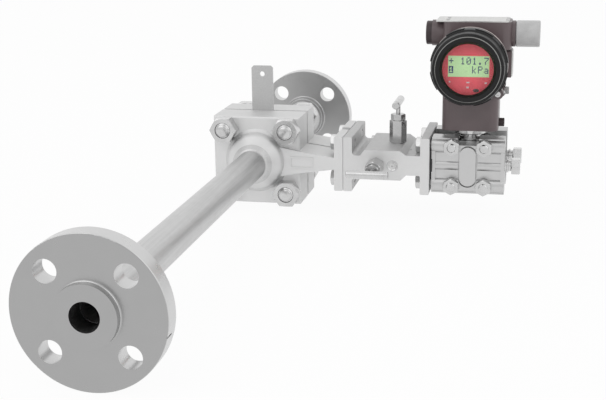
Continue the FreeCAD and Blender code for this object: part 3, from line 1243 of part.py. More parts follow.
def conduit_plug():
    """Threaded plug with a square drive hole in its head."""
    face = vec(CONDUIT_LEFT_FACE, 0, CONDUIT_AXIS_Z)
    shank = CONDUIT_HOLE_RADIUS - CONDUIT_FIT
    body = turned([(0, -CONDUIT_PLUG_SHANK), (shank, -CONDUIT_PLUG_SHANK), (shank, 0),
                   (CONDUIT_PLUG_HEAD_RADIUS, 0), (CONDUIT_PLUG_HEAD_RADIUS, CONDUIT_PLUG_HEAD, 1.2),
                   (0, CONDUIT_PLUG_HEAD)], face, vec(-1, 0, 0))
    half = CONDUIT_PLUG_SOCKET / 2
    outer_x = CONDUIT_LEFT_FACE - CONDUIT_PLUG_HEAD
    drive = box(vec(outer_x - 1, -half, CONDUIT_AXIS_Z - half),
                vec(outer_x + CONDUIT_PLUG_SOCKET_DEPTH, half, CONDUIT_AXIS_Z + half))
    return body.cut(drive)


def conduit_cap():
    """Moulded cap whose hollow shank is pushed into the right conduit entry."""
    face = vec(CONDUIT_RIGHT_FACE + JOINT_GAP, 0, CONDUIT_AXIS_Z)
    shank = CONDUIT_HOLE_RADIUS - CONDUIT_FIT
    end = CAP_LENGTH - JOINT_GAP
    return turned([(CAP_BORE_RADIUS, -CAP_SHANK), (shank, -CAP_SHANK), (shank, 0),
                   (CAP_RADIUS, 0, CAP_EDGE),
                   (CAP_RADIUS, end, CAP_EDGE), (0, end), (0, end - CAP_END_WALL),
                   (CAP_BORE_RADIUS, end - CAP_END_WALL)], face, AXIS_X)


def ground_terminal():
    """Washer and hexagon screw on the ground boss."""
    face = vec(GROUND_BOSS_FACE, GROUND_Y, GROUND_Z)
    washer = cylinder(GROUND_WASHER_RADIUS, face, AXIS_X, GROUND_WASHER_THICK)
    head_start = face.add(vec(GROUND_WASHER_THICK, 0, 0))
    head = hex_body(GROUND_SCREW_FLATS, head_start, AXIS_X, GROUND_SCREW_HEAD, AXIS_Z)
    shank = cylinder(GROUND_SHANK_RADIUS, face.sub(vec(GROUND_SHANK, 0, 0)), AXIS_X, GROUND_SHANK + 1)
    return head.fuse([washer, shank]).removeSplitter()


def cover_lock_screws():
    screws = []
    for side_sign in (-1, 1):
        screws.append(turned([(0, -LOCK_SCREW_SHANK), (LOCK_SCREW_SHANK_RADIUS, -LOCK_SCREW_SHANK),
                              (LOCK_SCREW_SHANK_RADIUS, 0), (LOCK_SCREW_HEAD_RADIUS, 0),
                              (LOCK_SCREW_HEAD_RADIUS, LOCK_SCREW_HEAD, 0.5), (1.4, LOCK_SCREW_HEAD),
                              (1.4, LOCK_SCREW_HEAD / 2), (0, LOCK_SCREW_HEAD / 2)],
                             lock_screw_place(side_sign), vec(0, side_sign, 0)))
    return group(screws)


def housing_set_screw():
    """Socket-head screw that locks the housing on the sensor module's spigot."""
    seat = TRANSMITTER_X + HOUSING_WALL_RADIUS
    tip = TRANSMITTER_X + MODULE_SPIGOT_RADIUS + SET_SCREW_TIP_GAP
    head = turned([(0, 0), (SET_SCREW_RADIUS, 0), (SET_SCREW_RADIUS, SET_SCREW_HEAD, 0.8),
                   (0, SET_SCREW_HEAD)],
                  vec(seat, 0, SET_SCREW_Z), AXIS_X)
    shank = cylinder(SET_SCREW_SHANK_RADIUS, vec(tip, 0, SET_SCREW_Z), AXIS_X, seat - tip + 1)
    socket = hex_prism(SET_SCREW_SOCKET_FLATS,
                       vec(seat + SET_SCREW_HEAD - SET_SCREW_SOCKET_DEPTH, 0, SET_SCREW_Z),
                       AXIS_X, SET_SCREW_SOCKET_DEPTH + 1, AXIS_Z)
    return head.fuse(shank).removeSplitter().cut(socket)


def all_parts():
    parts = {
        "inlet_flange": inlet_flange(),
        "inlet_pipe": line_pipe(-UPSTREAM_LENGTH),
        "upstream_body": body_half(BLOCK_EDGE),
        "plate_gaskets": plate_gaskets(),
        "orifice_plate": orifice_plate(),
        "downstream_body": other_side(body_half(BLOCK_BEVEL)),
        "outlet_pipe": line_pipe(DOWNSTREAM_LENGTH),
        "outlet_flange": end_flange(DOWNSTREAM_LENGTH, -1),
        "body_studs": body_studs(),
        "body_nuts": body_nuts(),
        "arm_gaskets": arm_gaskets(),
        "arm_bolts": arm_bolts(),
        "manifold_body": manifold_body(),
        "manifold_plug": manifold_plug(),
        "transmitter_gaskets": transmitter_gaskets(),
        "transmitter_bolts": transmitter_bolts(),
        "front_process_flange": process_flange(),
        "rear_process_flange": other_side(process_flange()),
        "process_gaskets": process_gaskets(),
        "sensor_module": sensor_module(),
        "process_bolts": process_bolts(),
        "process_nuts": process_nuts(),
        "vent_seats": vent_seats(),
        "front_vent_screw": vent_screw(-PORT_OFFSET),
        "rear_vent_screw": vent_screw(PORT_OFFSET),
        "housing": housing(),
        "cover_seals": group(seal_rings()),
        "front_cover": front_cover(),
        "cover_window": cover_window(),
        "rear_cover": rear_cover(),
        "electronics_board": electronics_board(),
        "display_module": display_module(),
        "dial_plate": dial_plate(),
        "terminal_block": terminal_block(),
        "top_nameplate": top_nameplate(),
        "nameplate_screws": nameplate_screws(),
        "side_tag": side_tag(),
        "conduit_plug": conduit_plug(),
        "conduit_cap": conduit_cap(),
        "ground_terminal": ground_terminal(),
        "cover_lock_screws": cover_lock_screws(),
        "housing_set_screw": housing_set_screw(),
    }
    packings = []
    for name, valve in valves().items():
        parts[name + "_bonnet"] = valve.bonnet()
        parts[name + "_gland_nut"] = valve.gland_nut()
        parts[name + "_needle"] = valve.needle()
        parts[name + "_stem"] = valve.stem()
        parts[name + "_t_bar"] = valve.t_bar()
        packings.append(valve.packing())
    parts["stem_packings"] = group(packings)
    return parts


def save(name, shape):
    moved = shape.copy()
    moved.translate(TO_INLET)
    moved.exportStep(os.path.join("parts", name + ".step"))


os.makedirs("parts", exist_ok=True)
for part_name, part_shape in all_parts().items():
    save(part_name, part_shape)
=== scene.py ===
"""An integral orifice flow meter dressed for a studio picture, in metres, on the frame of its solids."""

import math

import bmesh
import bpy
from mathutils import Matrix, Vector


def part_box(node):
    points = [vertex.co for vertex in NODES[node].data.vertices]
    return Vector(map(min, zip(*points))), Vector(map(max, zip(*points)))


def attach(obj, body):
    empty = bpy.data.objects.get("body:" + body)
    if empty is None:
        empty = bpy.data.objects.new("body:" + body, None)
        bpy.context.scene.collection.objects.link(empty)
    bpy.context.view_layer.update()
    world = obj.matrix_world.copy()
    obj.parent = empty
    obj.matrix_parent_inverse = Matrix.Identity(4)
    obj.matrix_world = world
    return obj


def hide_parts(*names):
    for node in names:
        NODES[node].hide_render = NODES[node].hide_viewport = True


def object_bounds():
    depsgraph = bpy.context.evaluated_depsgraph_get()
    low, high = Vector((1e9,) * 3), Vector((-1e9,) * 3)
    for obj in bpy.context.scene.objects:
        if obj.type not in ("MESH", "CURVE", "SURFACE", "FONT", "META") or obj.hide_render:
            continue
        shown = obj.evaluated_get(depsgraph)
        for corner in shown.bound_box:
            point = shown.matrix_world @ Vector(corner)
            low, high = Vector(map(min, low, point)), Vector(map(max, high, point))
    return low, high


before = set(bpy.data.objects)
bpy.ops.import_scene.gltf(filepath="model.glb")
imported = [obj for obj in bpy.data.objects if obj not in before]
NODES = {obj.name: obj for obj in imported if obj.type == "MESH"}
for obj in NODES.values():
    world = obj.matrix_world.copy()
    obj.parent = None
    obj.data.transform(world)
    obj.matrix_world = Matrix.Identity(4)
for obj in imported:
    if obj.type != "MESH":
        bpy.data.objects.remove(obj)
CAD_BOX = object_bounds()
MM = 0.001
FLAT = 0.1 * MM

# Camera, from a calibration on the flanges and the meter body
CAMERA_PLACE = Vector((0.32008, -0.73383, 0.29583))
CAMERA_AZIMUTH = math.radians(12.10)
CAMERA_ELEVATION = math.radians(14.97)
CAMERA_ROLL = math.radians(-0.70)
CAMERA_LENS = 68.64
SENSOR_WIDTH = 36.0

# World: how bright it looks in front of, behind and above the object, and between which directions
WORLD_FRONT = 0.8
WORLD_BACK = 1.0
WORLD_TOP = 0.86
WORLD_DEPTHS = (-0.7, 0.5)
WORLD_HEIGHTS = (0.2, 0.9)
WORLD_LIGHT = 0.75

# Lamps: place, the point that each looks at, the length of its side and its power
LAMPS = {
    "key": ((-1.1, -1.2, 1.9), (0.1, 0.45, 0.0), 2.4, 13.0),
    "fill": ((1.8, -0.4, 1.3), (0.15, 0.5, 0.05), 2.0, 6.0),
}

# Floor
FLOOR_SHADE = 0.94
FLOOR_HALF = 14.0
FLOOR_DROP = 0.2 * MM
FLOOR_COLOUR = (0.88, 0.88, 0.88, 1)
FLOOR_GLOSS = 0.9

# Screen of the display
DOT_ROWS = 7
DOT_COLUMNS = 5
SCREEN_CELLS = 7
SCREEN_SIZE = (43.0 * MM, 22.2 * MM)
CHARACTER_SIZE = (4.7 * MM, 7.5 * MM)
ROW_HEIGHTS = (5.9 * MM, -3.4 * MM)
DOT_FILL = 1.0
DOT_RISE = 0.06 * MM
SCREEN_ROWS = ("+ 101.7", "S   kPa")
GLYPHS = {
    "+": ("     ", "  #  ", "  #  ", "#####", "  #  ", "  #  ", "     "),
    "0": (" ### ", "#   #", "#  ##", "# # #", "##  #", "#   #", " ### "),
    "1": ("  #  ", " ##  ", "  #  ", "  #  ", "  #  ", "  #  ", " ### "),
    "7": ("#####", "    #", "   # ", "  #  ", " #   ", " #   ", " #   "),
    ".": ("     ", "     ", "     ", "     ", "     ", " ##  ", " ##  "),
    "k": ("#    ", "#    ", "#  # ", "# #  ", "##   ", "# #  ", "#  # "),
    "P": ("#### ", "#   #", "#   #", "#### ", "#    ", "#    ", "#    "),
    "a": ("     ", "     ", " ### ", "    #", " ####", "#   #", " ####"),
    "S": ("#####", "## ##", "#  ##", "## ##", "## ##", "#   #", "#####"),
}

# Marks on the dial: across and up from the screen's middle, and width and height
DIAL_MARKS = (
    (-19.6, -16.5, 1.8, 1.8),
    (-0.2, -16.9, 3.4, 1.5),
    (18.5, -17.2, 2.6, 1.6),
    (-0.6, -22.2, 2.8, 1.9),
)
MARK_RISE = 0.05
SENSOR_PLACE = (8.4, -25.4)
SENSOR_HALF = (3.2, 1.9)
SENSOR_SIDES = 24

# Front cover: its profile as radius and distance behind its face, from the rear edge outside to the bore
COVER_OUTER = ((40.0, 37.0), (40.4, 36.5), (40.4, 17.6), (39.9, 16.6), (38.6, 15.4), (38.3, 5.2),
               (37.6, 2.8), (35.4, 1.5))
# The narrow rounded edge of the face, which carries a painted highlight in a grey metal finish
COVER_EDGE = ((34.8, 1.3), (34.6, 0.6), (34.0, 0.0))
COVER_INNER = ((29.5, 0.0), (27.1, 2.9), (26.9, 3.4), (26.9, 4.5), (30.4, 4.5), (30.4, 8.5),
               (35.7, 8.5), (35.7, 37.0))
LUG_COUNT = 8
LUG_GAP = 12.0
LUG_RADII = (39.4, 41.2, 41.6)
LUG_DEPTHS = (18.0, 18.6, 28.4, 29.0)
LUG_STEPS = 14
COVER_CREASE = 30.0

# Rounded ends of the meter body's studs
DOME_RISE = 2.2
DOME_RINGS = 8
DOME_SIDES = 40
DOME_CREASE = 60.0

# Thread at the barrel's front end
THREAD_PITCH = 1.33
THREAD_RISE = 0.8
THREAD_TURNS = 3
THREAD_RADIUS = 39.9
THREAD_WALL = 4.4
THREAD_START = 513.0
RING_SEGMENTS = 192


def srgb(*values):
    """A colour for a socket, from its 0 to 255 values on a screen."""
    linear = []
    for value in values:
        share = value / 255.0
        if share <= 0.04045:
            linear.append(share / 12.92)
        else:
            linear.append(((share + 0.055) / 1.055) ** 2.4)
    return (*linear, 1.0)


def scaled(colour, factor):
    """A colour, brighter or darker."""
    return (*(channel * factor for channel in colour[:3]), 1.0)


class Finish:
    """A material and the nodes that make its colour, gloss and grain."""

    def __init__(self, name, **values):
        self.material = bpy.data.materials.new(name)
        self.material.use_nodes = True
        self.tree = self.material.node_tree
        self.shader = self.tree.nodes["Principled BSDF"]
        self.place = self.add("TexCoord").outputs["Object"]
        for socket, value in values.items():
            self.shader.inputs[socket.replace("_", " ")].default_value = value

    def add(self, kind, **settings):
        """A new node with its own settings."""
        node = self.tree.nodes.new("ShaderNode" + kind)
        for key, value in settings.items():
            setattr(node, key, value)
        return node

    def join(self, output, socket):
        """Links an output to a socket."""
        self.tree.links.new(output, socket)

    def stretched(self, x, y, z):
        """Places drawn out along an axis, for grain that runs one way."""
        node = self.add("Mapping")
        node.inputs["Scale"].default_value = (x, y, z)
        self.join(self.place, node.inputs["Vector"])
        return node.outputs["Vector"]

    def noise(self, size, detail=3.0, roughness=0.5, place=None):
        """A cloud of that size in metres, from 0 to 1."""
        node = self.add("TexNoise")
        node.inputs["Scale"].default_value = 1.0 / size
        node.inputs["Detail"].default_value = detail
        node.inputs["Roughness"].default_value = roughness
        self.join(place or self.place, node.inputs["Vector"])
        return node.outputs["Fac"]

    def rings(self, pitch, axis):
        """Fine turned rings around an axis."""
        node = self.add("TexWave", wave_type="RINGS", rings_direction=axis)
        node.inputs["Scale"].default_value = math.pi / 10.0 / pitch
        node.inputs["Distortion"].default_value = 0.6
        node.inputs["Detail"].default_value = 1.0
        self.join(self.place, node.inputs["Vector"])
        return node.outputs["Fac"]

    def facing(self):
        """1 on the faces across Y and 0 on the rims around it."""
        parts = self.add("SeparateXYZ")
        self.join(self.add("TexCoord").outputs["Normal"], parts.inputs[0])
        size = self.add("Math", operation="ABSOLUTE")
        self.join(parts.outputs["Y"], size.inputs[0])
        return size.outputs[0]

    def colour(self, level, low, high, start=0.35, end=0.65):
        """Takes the base colour from low to high as level goes from start to end."""
        node = self.add("ValToRGB")
        node.color_ramp.elements[0].position = start
        node.color_ramp.elements[1].position = end
        node.color_ramp.elements[0].color = low
        node.color_ramp.elements[1].color = high
        self.join(level, node.inputs["Fac"])
        self.join(node.outputs["Color"], self.shader.inputs["Base Color"])

    def gloss(self, level, low, high, start=0.3, end=0.7):
        """Takes the roughness from low to high as level goes from start to end."""
        node = self.add("MapRange")
        node.inputs["From Min"].default_value = start
        node.inputs["From Max"].default_value = end
        node.inputs["To Min"].default_value = low
        node.inputs["To Max"].default_value = high
        self.join(level, node.inputs["Value"])
        self.join(node.outputs["Result"], self.shader.inputs["Roughness"])

    def bump(self, level, strength, depth):
        """Raises the surface by level, over any earlier bump."""
        node = self.add("Bump")
        node.inputs["Strength"].default_value = strength
        node.inputs["Distance"].default_value = depth
        self.join(level, node.inputs["Height"])
        normal = self.shader.inputs["Normal"]
        if normal.is_linked:
            self.join(normal.links[0].from_socket, node.inputs["Normal"])
        self.join(node.outputs["Normal"], normal)


def cast_metal(name, side_tone, face_tone, low_gloss=0.46, high_gloss=0.56, metallic=0.65):
    """Blasted stainless with a fine even grain, brighter on its dressed faces across Y."""
    finish = Finish(name, Metallic=metallic)
    finish.colour(finish.facing(), side_tone, face_tone, start=0.6, end=0.95)
    finish.gloss(finish.noise(0.006), low_gloss, high_gloss)
    finish.bump(finish.noise(0.0009, detail=2.0), 0.2, 0.05 * MM)
    finish.bump(finish.noise(0.012, detail=1.0), 0.1, 0.1 * MM)
    return finish.material


def turned_metal(name, rim_tone, face_tone, gloss, pitch=0.35 * MM, depth=0.002 * MM):
    """Turned stainless around Y: bright rims, and greyer faces with rings from the tool."""
    finish = Finish(name, Metallic=1.0)
    finish.colour(finish.facing(), rim_tone, face_tone, start=0.6, end=0.9)
    finish.gloss(finish.noise(0.012), gloss - 0.03, gloss + 0.04)
    finish.bump(finish.rings(pitch, "Y"), 0.3, depth)
    return finish.material


def drawn_metal(name, tone, gloss):
    """Drawn pipe, with faint streaks along Y."""
    finish = Finish(name, Metallic=1.0)
    streaks = finish.noise(0.0016, detail=3.0, place=finish.stretched(1.0, 0.02, 1.0))
    finish.colour(streaks, scaled(tone, 0.95), scaled(tone, 1.03))
    finish.gloss(finish.noise(0.01), gloss - 0.04, gloss + 0.05)
    finish.bump(streaks, 0.08, 0.01 * MM)
    return finish.material


def bright_metal(name, tone, gloss):
    """Polished or plated steel, with small marks from handling."""
    finish = Finish(name, Metallic=1.0)
    finish.colour(finish.noise(0.01, detail=4.0), scaled(tone, 0.94), scaled(tone, 1.03))
    finish.gloss(finish.noise(0.003, detail=3.0), gloss - 0.03, gloss + 0.07)
    finish.bump(finish.noise(0.006, detail=1.0), 0.04, 0.02 * MM)
    return finish.material


def paint(name, tone, gloss, shine=0.5, peel=0.03 * MM):
    """Sprayed paint, with the soft skin of an orange."""
    finish = Finish(name, Specular_IOR_Level=shine)
    finish.colour(finish.noise(0.02, detail=4.0), scaled(tone, 0.92), scaled(tone, 1.06))
    finish.gloss(finish.noise(0.006), gloss - 0.05, gloss + 0.06)
    finish.bump(finish.noise(0.0022, detail=2.0), 0.3, peel)
    finish.bump(finish.noise(0.0005, detail=1.0), 0.2, 0.2 * peel)
    return finish.material


def moulded(name, tone, gloss):
    """Moulded plastic or rubber, with a fine matt grain."""
    finish = Finish(name)
    finish.colour(finish.noise(0.01), scaled(tone, 0.92), scaled(tone, 1.06))
    finish.gloss(finish.noise(0.002), gloss - 0.05, gloss + 0.05)
    finish.bump(finish.noise(0.0006, detail=2.0), 0.25, 0.03 * MM)
    return finish.material


def screen_with_painted_glow(name, tone):
    """The screen's green glass, with a faint painted glow that lifts it out of the shade of its recess.
    """
    # Painted light: the small emission brightens the screen against the shade of the housing's recess.
    finish = Finish(name, Emission_Strength=0.28, IOR=1.45)
    finish.shader.inputs["Emission Color"].default_value = tone
    finish.colour(finish.noise(0.02), scaled(tone, 0.96), scaled(tone, 1.04))
    finish.gloss(finish.noise(0.01), 0.25, 0.35)
    return finish.material


def clear_glass(name):
    """The window's glass, seen through, with a light skin of gloss."""
    finish = Finish(name, Alpha=0.03, IOR=1.5)
    finish.colour(finish.noise(0.03), srgb(235, 240, 238), srgb(245, 248, 246))
    finish.gloss(finish.noise(0.01), 0.03, 0.08)
    return finish.material


PALE_STEEL = srgb(206, 206, 206)
PIPE_STEEL = srgb(202, 202, 202)
FLANGE_STEEL = srgb(172, 172, 172)
RIM_STEEL = srgb(206, 206, 206)
BRIGHT_STEEL = srgb(204, 204, 204)

FINISHES = {
    "cast": cast_metal("cast_stainless_finish", srgb(216, 216, 216), srgb(226, 226, 226)),
    "milled": cast_metal("milled_stainless_finish", srgb(194, 194, 194), srgb(224, 224, 224)),
    "process": cast_metal("process_flange_finish", srgb(188, 188, 188), srgb(200, 200, 200),
                          0.28, 0.36, metallic=0.95),
    "flange": turned_metal("turned_flange_finish", RIM_STEEL, FLANGE_STEEL, 0.3),
    "pipe": drawn_metal("drawn_pipe_finish", PIPE_STEEL, 0.42),
    "plate": drawn_metal("rolled_plate_finish", srgb(194, 194, 194), 0.36),
    "fastener": bright_metal("fastener_finish", BRIGHT_STEEL, 0.22),
    "bright": bright_metal("polished_finish", PALE_STEEL, 0.14),
    "bonnet": bright_metal("bonnet_finish", srgb(188, 188, 188), 0.15),
    "bar": bright_metal("handle_finish", PALE_STEEL, 0.28),
    "gasket": moulded("graphite_finish", srgb(52, 52, 54), 0.6),
    "rubber": moulded("seal_finish", srgb(24, 24, 25), 0.5),
    "housing": paint("housing_paint_finish", srgb(94, 80, 82), 0.34, shine=0.75),
    "cover": paint("cover_paint_finish", srgb(14, 14, 15), 0.36, shine=0.32),
    # Painted highlight: grey metal on the cover's face edge, standing for the light that its rounding
    # catches
    "edge": bright_metal("cover_edge_painted_highlight", srgb(150, 150, 148), 0.4),
    "thread": bright_metal("thread_finish", srgb(178, 170, 168), 0.36),
    "glass": clear_glass("window_glass_finish"),
    "dial": moulded("dial_finish", srgb(250, 82, 98), 0.5),
    # Painted light: the screen glows faintly so that it stands out of its shaded recess.
    "screen": screen_with_painted_glow("screen_finish", srgb(178, 214, 158)),
    "board": moulded("board_finish", srgb(34, 92, 58), 0.4),
    "terminal": moulded("terminal_finish", srgb(40, 42, 46), 0.45),
    "nameplate": drawn_metal("nameplate_finish", srgb(205, 205, 203), 0.3),
    "plug": moulded("plug_finish", srgb(58, 46, 48), 0.4),
    "cap": moulded("cap_finish", srgb(192, 192, 192), 0.3),
    "ink": moulded("ink_finish", srgb(44, 66, 112), 0.5),
    "sensor": moulded("sensor_window_finish", srgb(72, 50, 44), 0.35),
    "mark": moulded("mark_finish", srgb(238, 214, 216), 0.5),
}

NODE_FINISH = {
    "inlet_flange": "flange", "outlet_flange": "flange",
    "inlet_pipe": "pipe", "outlet_pipe": "pipe",
    "upstream_body": "cast", "downstream_body": "cast", "manifold_body": "milled",
    "front_process_flange": "process", "rear_process_flange": "process",
    "orifice_plate": "plate",
    "body_studs": "fastener", "body_nuts": "fastener", "arm_bolts": "fastener",
    "transmitter_bolts": "fastener", "process_bolts": "fastener", "process_nuts": "fastener",
    "manifold_plug": "fastener", "nameplate_screws": "fastener", "ground_terminal": "fastener",
    "cover_lock_screws": "fastener", "vent_seats": "bright", "sensor_module": "bright",
    "front_vent_screw": "bright", "rear_vent_screw": "bright",
    "plate_gaskets": "gasket", "arm_gaskets": "gasket", "transmitter_gaskets": "gasket",
    "process_gaskets": "gasket", "stem_packings": "gasket", "cover_seals": "rubber",
    "housing": "housing", "front_cover": "cover", "rear_cover": "cover",
    "cover_window": "glass", "dial_plate": "dial", "display_module": "screen",
    "electronics_board": "board", "terminal_block": "terminal",
    "top_nameplate": "nameplate", "side_tag": "nameplate",
    "conduit_plug": "plug", "housing_set_screw": "plug", "conduit_cap": "cap",
}
VALVE_FINISH = {
    "bonnet": "bonnet", "gland_nut": "bonnet", "needle": "bright", "stem": "bar", "t_bar": "bar",
}


def dress_nodes():
    """Gives every solid of the frame its finish."""
    for name, node in NODES.items():
        kind = NODE_FINISH.get(name)
        if kind is None:
            for part, finish in VALVE_FINISH.items():
                if name.endswith("_" + part):
                    kind = finish
        node.data.materials.clear()
        node.data.materials.append(FINISHES[kind])


def new_piece(name, mesh, finish, body):
    """Puts a finished mesh in the scene under the given name, riding on a body."""
    piece = bpy.data.objects.new(name, mesh)
    bpy.context.scene.collection.objects.link(piece)
    mesh.materials.append(FINISHES[finish])
    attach(piece, body)
    return piece


def add_pad(shape, x, y, z, width, height, rise):
    """A thin flat pad on a face that looks to -Y, with its back on the face."""
    corners = []
    for depth in (y, y - rise):
        for side, up in ((-0.5, -0.5), (0.5, -0.5), (0.5, 0.5), (-0.5, 0.5)):
            corners.append(shape.verts.new((x + side * width, depth, z + up * height)))
    back, front = corners[:4], corners[4:]
    shape.faces.new(front)
    shape.faces.new(list(reversed(back)))
    for i in range(4):
        j = (i + 1) % 4
        shape.faces.new((back[i], back[j], front[j], front[i]))


def finished(shape, name):
    """The mesh of a bmesh, with its faces turned outwards."""
    bmesh.ops.recalc_face_normals(shape, faces=shape.faces)
    mesh = bpy.data.meshes.new(name)
    shape.to_mesh(mesh)
    shape.free()
    return mesh


def middle(node):
    """The middle of a node's box."""
    low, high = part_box(node)
    return (low + high) / 2


def screen_middle():
    """The middle of the screen, which stands up from the display module's face."""
    low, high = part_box("display_module")
    front = [point.co for point in NODES["display_module"].data.vertices if point.co.y < low.y + FLAT]
    across = [point.x for point in front]
    up = [point.z for point in front]
    return Vector(((min(across) + max(across)) / 2, low.y, (min(up) + max(up)) / 2))


def screen_characters():
    """The reading on the screen, in dots as such a screen has them."""
    shape = bmesh.new()
    centre = screen_middle()
    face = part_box("display_module")[0].y
    pitch_x = CHARACTER_SIZE[0] / DOT_COLUMNS
    pitch_z = CHARACTER_SIZE[1] / DOT_ROWS
    cell = SCREEN_SIZE[0] / SCREEN_CELLS
    for line, height in zip(SCREEN_ROWS, ROW_HEIGHTS):
        for place, letter in enumerate(line):
            if letter == " ":
                continue
            cell_x = centre.x + (place + 0.5 - SCREEN_CELLS / 2) * cell
            for row, dots in enumerate(GLYPHS[letter]):
                for column, dot in enumerate(dots):
                    if dot == " ":
                        continue
                    x = cell_x + (column - (DOT_COLUMNS - 1) / 2) * pitch_x
                    z = centre.z + height + ((DOT_ROWS - 1) / 2 - row) * pitch_z
                    add_pad(shape, x, face, z, pitch_x * DOT_FILL, pitch_z * DOT_FILL, DOT_RISE)
    new_piece("screen_characters", finished(shape, "screen_characters"), "ink", "housing")


def dial_marks():
    """The small pale marks printed on the dial."""
    shape = bmesh.new()
    centre = screen_middle()
    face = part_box("dial_plate")[0].y
    for across, up, width, height in DIAL_MARKS:
        x = centre.x + across * MM
        z = centre.z + up * MM
        add_pad(shape, x, face, z, width * MM, height * MM, MARK_RISE * MM)
    new_piece("dial_marks", finished(shape, "dial_marks"), "mark", "housing")


def sensor_window():
    """The small dark oval at the lower right of the dial."""
    shape = bmesh.new()
    centre = screen_middle()
    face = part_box("dial_plate")[0].y
    rims = []
    for depth in (face, face - MARK_RISE * MM):
        rim = []
        for step in range(SENSOR_SIDES):
            angle = 2 * math.pi * step / SENSOR_SIDES
            x = centre.x + (SENSOR_PLACE[0] + SENSOR_HALF[0] * math.cos(angle)) * MM
            z = centre.z + (SENSOR_PLACE[1] + SENSOR_HALF[1] * math.sin(angle)) * MM
            rim.append(shape.verts.new((x, depth, z)))
        rims.append(rim)
    close_between(shape, rims[0], rims[1])
    shape.faces.new(rims[0])
    shape.faces.new(rims[1])
    new_piece("sensor_window", finished(shape, "sensor_window"), "sensor", "housing")


def close_between(shape, here, there):
    """A closed band of faces between two rows with as many points."""
    bands = []
    for i in range(len(here)):
        j = (i + 1) % len(here)
        bands.append(shape.faces.new((here[i], here[j], there[j], there[i])))
    return bands


def profile_row(shape, profile, centre, angle):
    """The points of a (radius, y) profile, turned to an angle around Y."""
    row = []
    for radius, y in profile:
        x = centre.x + radius * math.cos(angle)
        z = centre.z + radius * math.sin(angle)
        row.append(shape.verts.new((x, y, z)))
    return row


def add_turned(shape, profile, centre, marked=()):
    """A closed ring around Y, with the second material on the marked sides of its profile."""
    rows = []
    for step in range(RING_SEGMENTS):
        rows.append(profile_row(shape, profile, centre, 2 * math.pi * step / RING_SEGMENTS))
    for step in range(RING_SEGMENTS):
        bands = close_between(shape, rows[step], rows[(step + 1) % RING_SEGMENTS])
        for i in marked:
            bands[i].material_index = 1


def add_bar(shape, profile, centre, start, end):
    """A closed curved bar around Y between two angles."""
    rows = []
    for step in range(LUG_STEPS + 1):
        rows.append(profile_row(shape, profile, centre, start + (end - start) * step / LUG_STEPS))
    for here, there in zip(rows, rows[1:]):
        close_between(shape, here, there)
    shape.faces.new(rows[0])
    shape.faces.new(rows[-1])


def smooth(piece, angle=COVER_CREASE):
    """Soft shading over the curved faces and sharp edges between the flat ones."""
    for face in piece.data.polygons:
        face.use_smooth = True
    limit = math.radians(angle)
    shape = bmesh.new()
    shape.from_mesh(piece.data)
    for edge in shape.edges:
        if len(edge.link_faces) != 2 or edge.calc_face_angle() > limit:
            edge.smooth = False
    shape.to_mesh(piece.data)
    shape.free()


def add_dome(shape, base, outward, radius):
    """A low round dome on a flat stud end, with a flat back."""
    rims = []
    for i in range(DOME_RINGS):
        angle = math.pi / 2 * i / DOME_RINGS
        rim = []
        for step in range(DOME_SIDES):
            turn = 2 * math.pi * step / DOME_SIDES
            x = base.x + radius * math.cos(angle) * math.cos(turn)
            z = base.z + radius * math.cos(angle) * math.sin(turn)
            rim.append(shape.verts.new((x, base.y + outward * DOME_RISE * MM * math.sin(angle), z)))
        rims.append(rim)
    for here, there in zip(rims, rims[1:]):
        close_between(shape, here, there)
    tip = shape.verts.new((base.x, base.y + outward * DOME_RISE * MM, base.z))
    for i in range(DOME_SIDES):
        shape.faces.new((rims[-1][i], rims[-1][(i + 1) % DOME_SIDES], tip))
    shape.faces.new(rims[0])


def stud_domes():
    """The rounded ends of the studs through the meter body."""
    low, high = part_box("body_studs")
    centre = (low + high) / 2
    shape = bmesh.new()
    for face, outward in ((low.y, -1), (high.y, 1)):
        groups = {}
        for point in (vertex.co for vertex in NODES["body_studs"].data.vertices):
            if abs(point.y - face) < FLAT:
                groups.setdefault((point.x > centre.x, point.z > centre.z), []).append(point)
        for points in groups.values():
            across = [point.x for point in points]
            up = [point.z for point in points]
            middle_x = (min(across) + max(across)) / 2
            middle_z = (min(up) + max(up)) / 2
            radius = (max(across) - min(across)) / 2
            add_dome(shape, Vector((middle_x, face, middle_z)), outward, radius)
    piece = new_piece("stud_domes", finished(shape, "stud_domes"), "fastener", "meter")
    smooth(piece, DOME_CREASE)


def front_cover():
    """The display cover, with a painted highlight as a grey metal band on the edge of its face, and the
    grip lugs round its widest part.
    """
    centre = middle("dial_plate")
    low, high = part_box("front_cover")
    profile = []
    for radius, depth in COVER_OUTER + COVER_EDGE + COVER_INNER:
        profile.append((radius * MM, min(low.y + depth * MM, high.y)))
    first = len(COVER_OUTER)
    shape = bmesh.new()
    add_turned(shape, profile, centre, marked=range(first, first + len(COVER_EDGE) - 1))
    root, shoulder, crest = (radius * MM for radius in LUG_RADII)
    front, front_top, rear_top, rear = (low.y + depth * MM for depth in LUG_DEPTHS)
    bar = ((root, front), (shoulder, front), (crest, front_top),
           (crest, rear_top), (shoulder, rear), (root, rear))
    half_gap = math.asin(LUG_GAP * MM / 2 / crest)
    for i in range(LUG_COUNT):
        start = 2 * math.pi * i / LUG_COUNT
        add_bar(shape, bar, centre, start + half_gap, start + 2 * math.pi / LUG_COUNT - half_gap)
    mesh = finished(shape, "display_cover")
    piece = new_piece("display_cover", mesh, "cover", "front_cover")
    # The face edge gets the second material, a painted highlight.
    piece.data.materials.append(FINISHES["edge"])
    smooth(piece)
    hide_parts("front_cover")


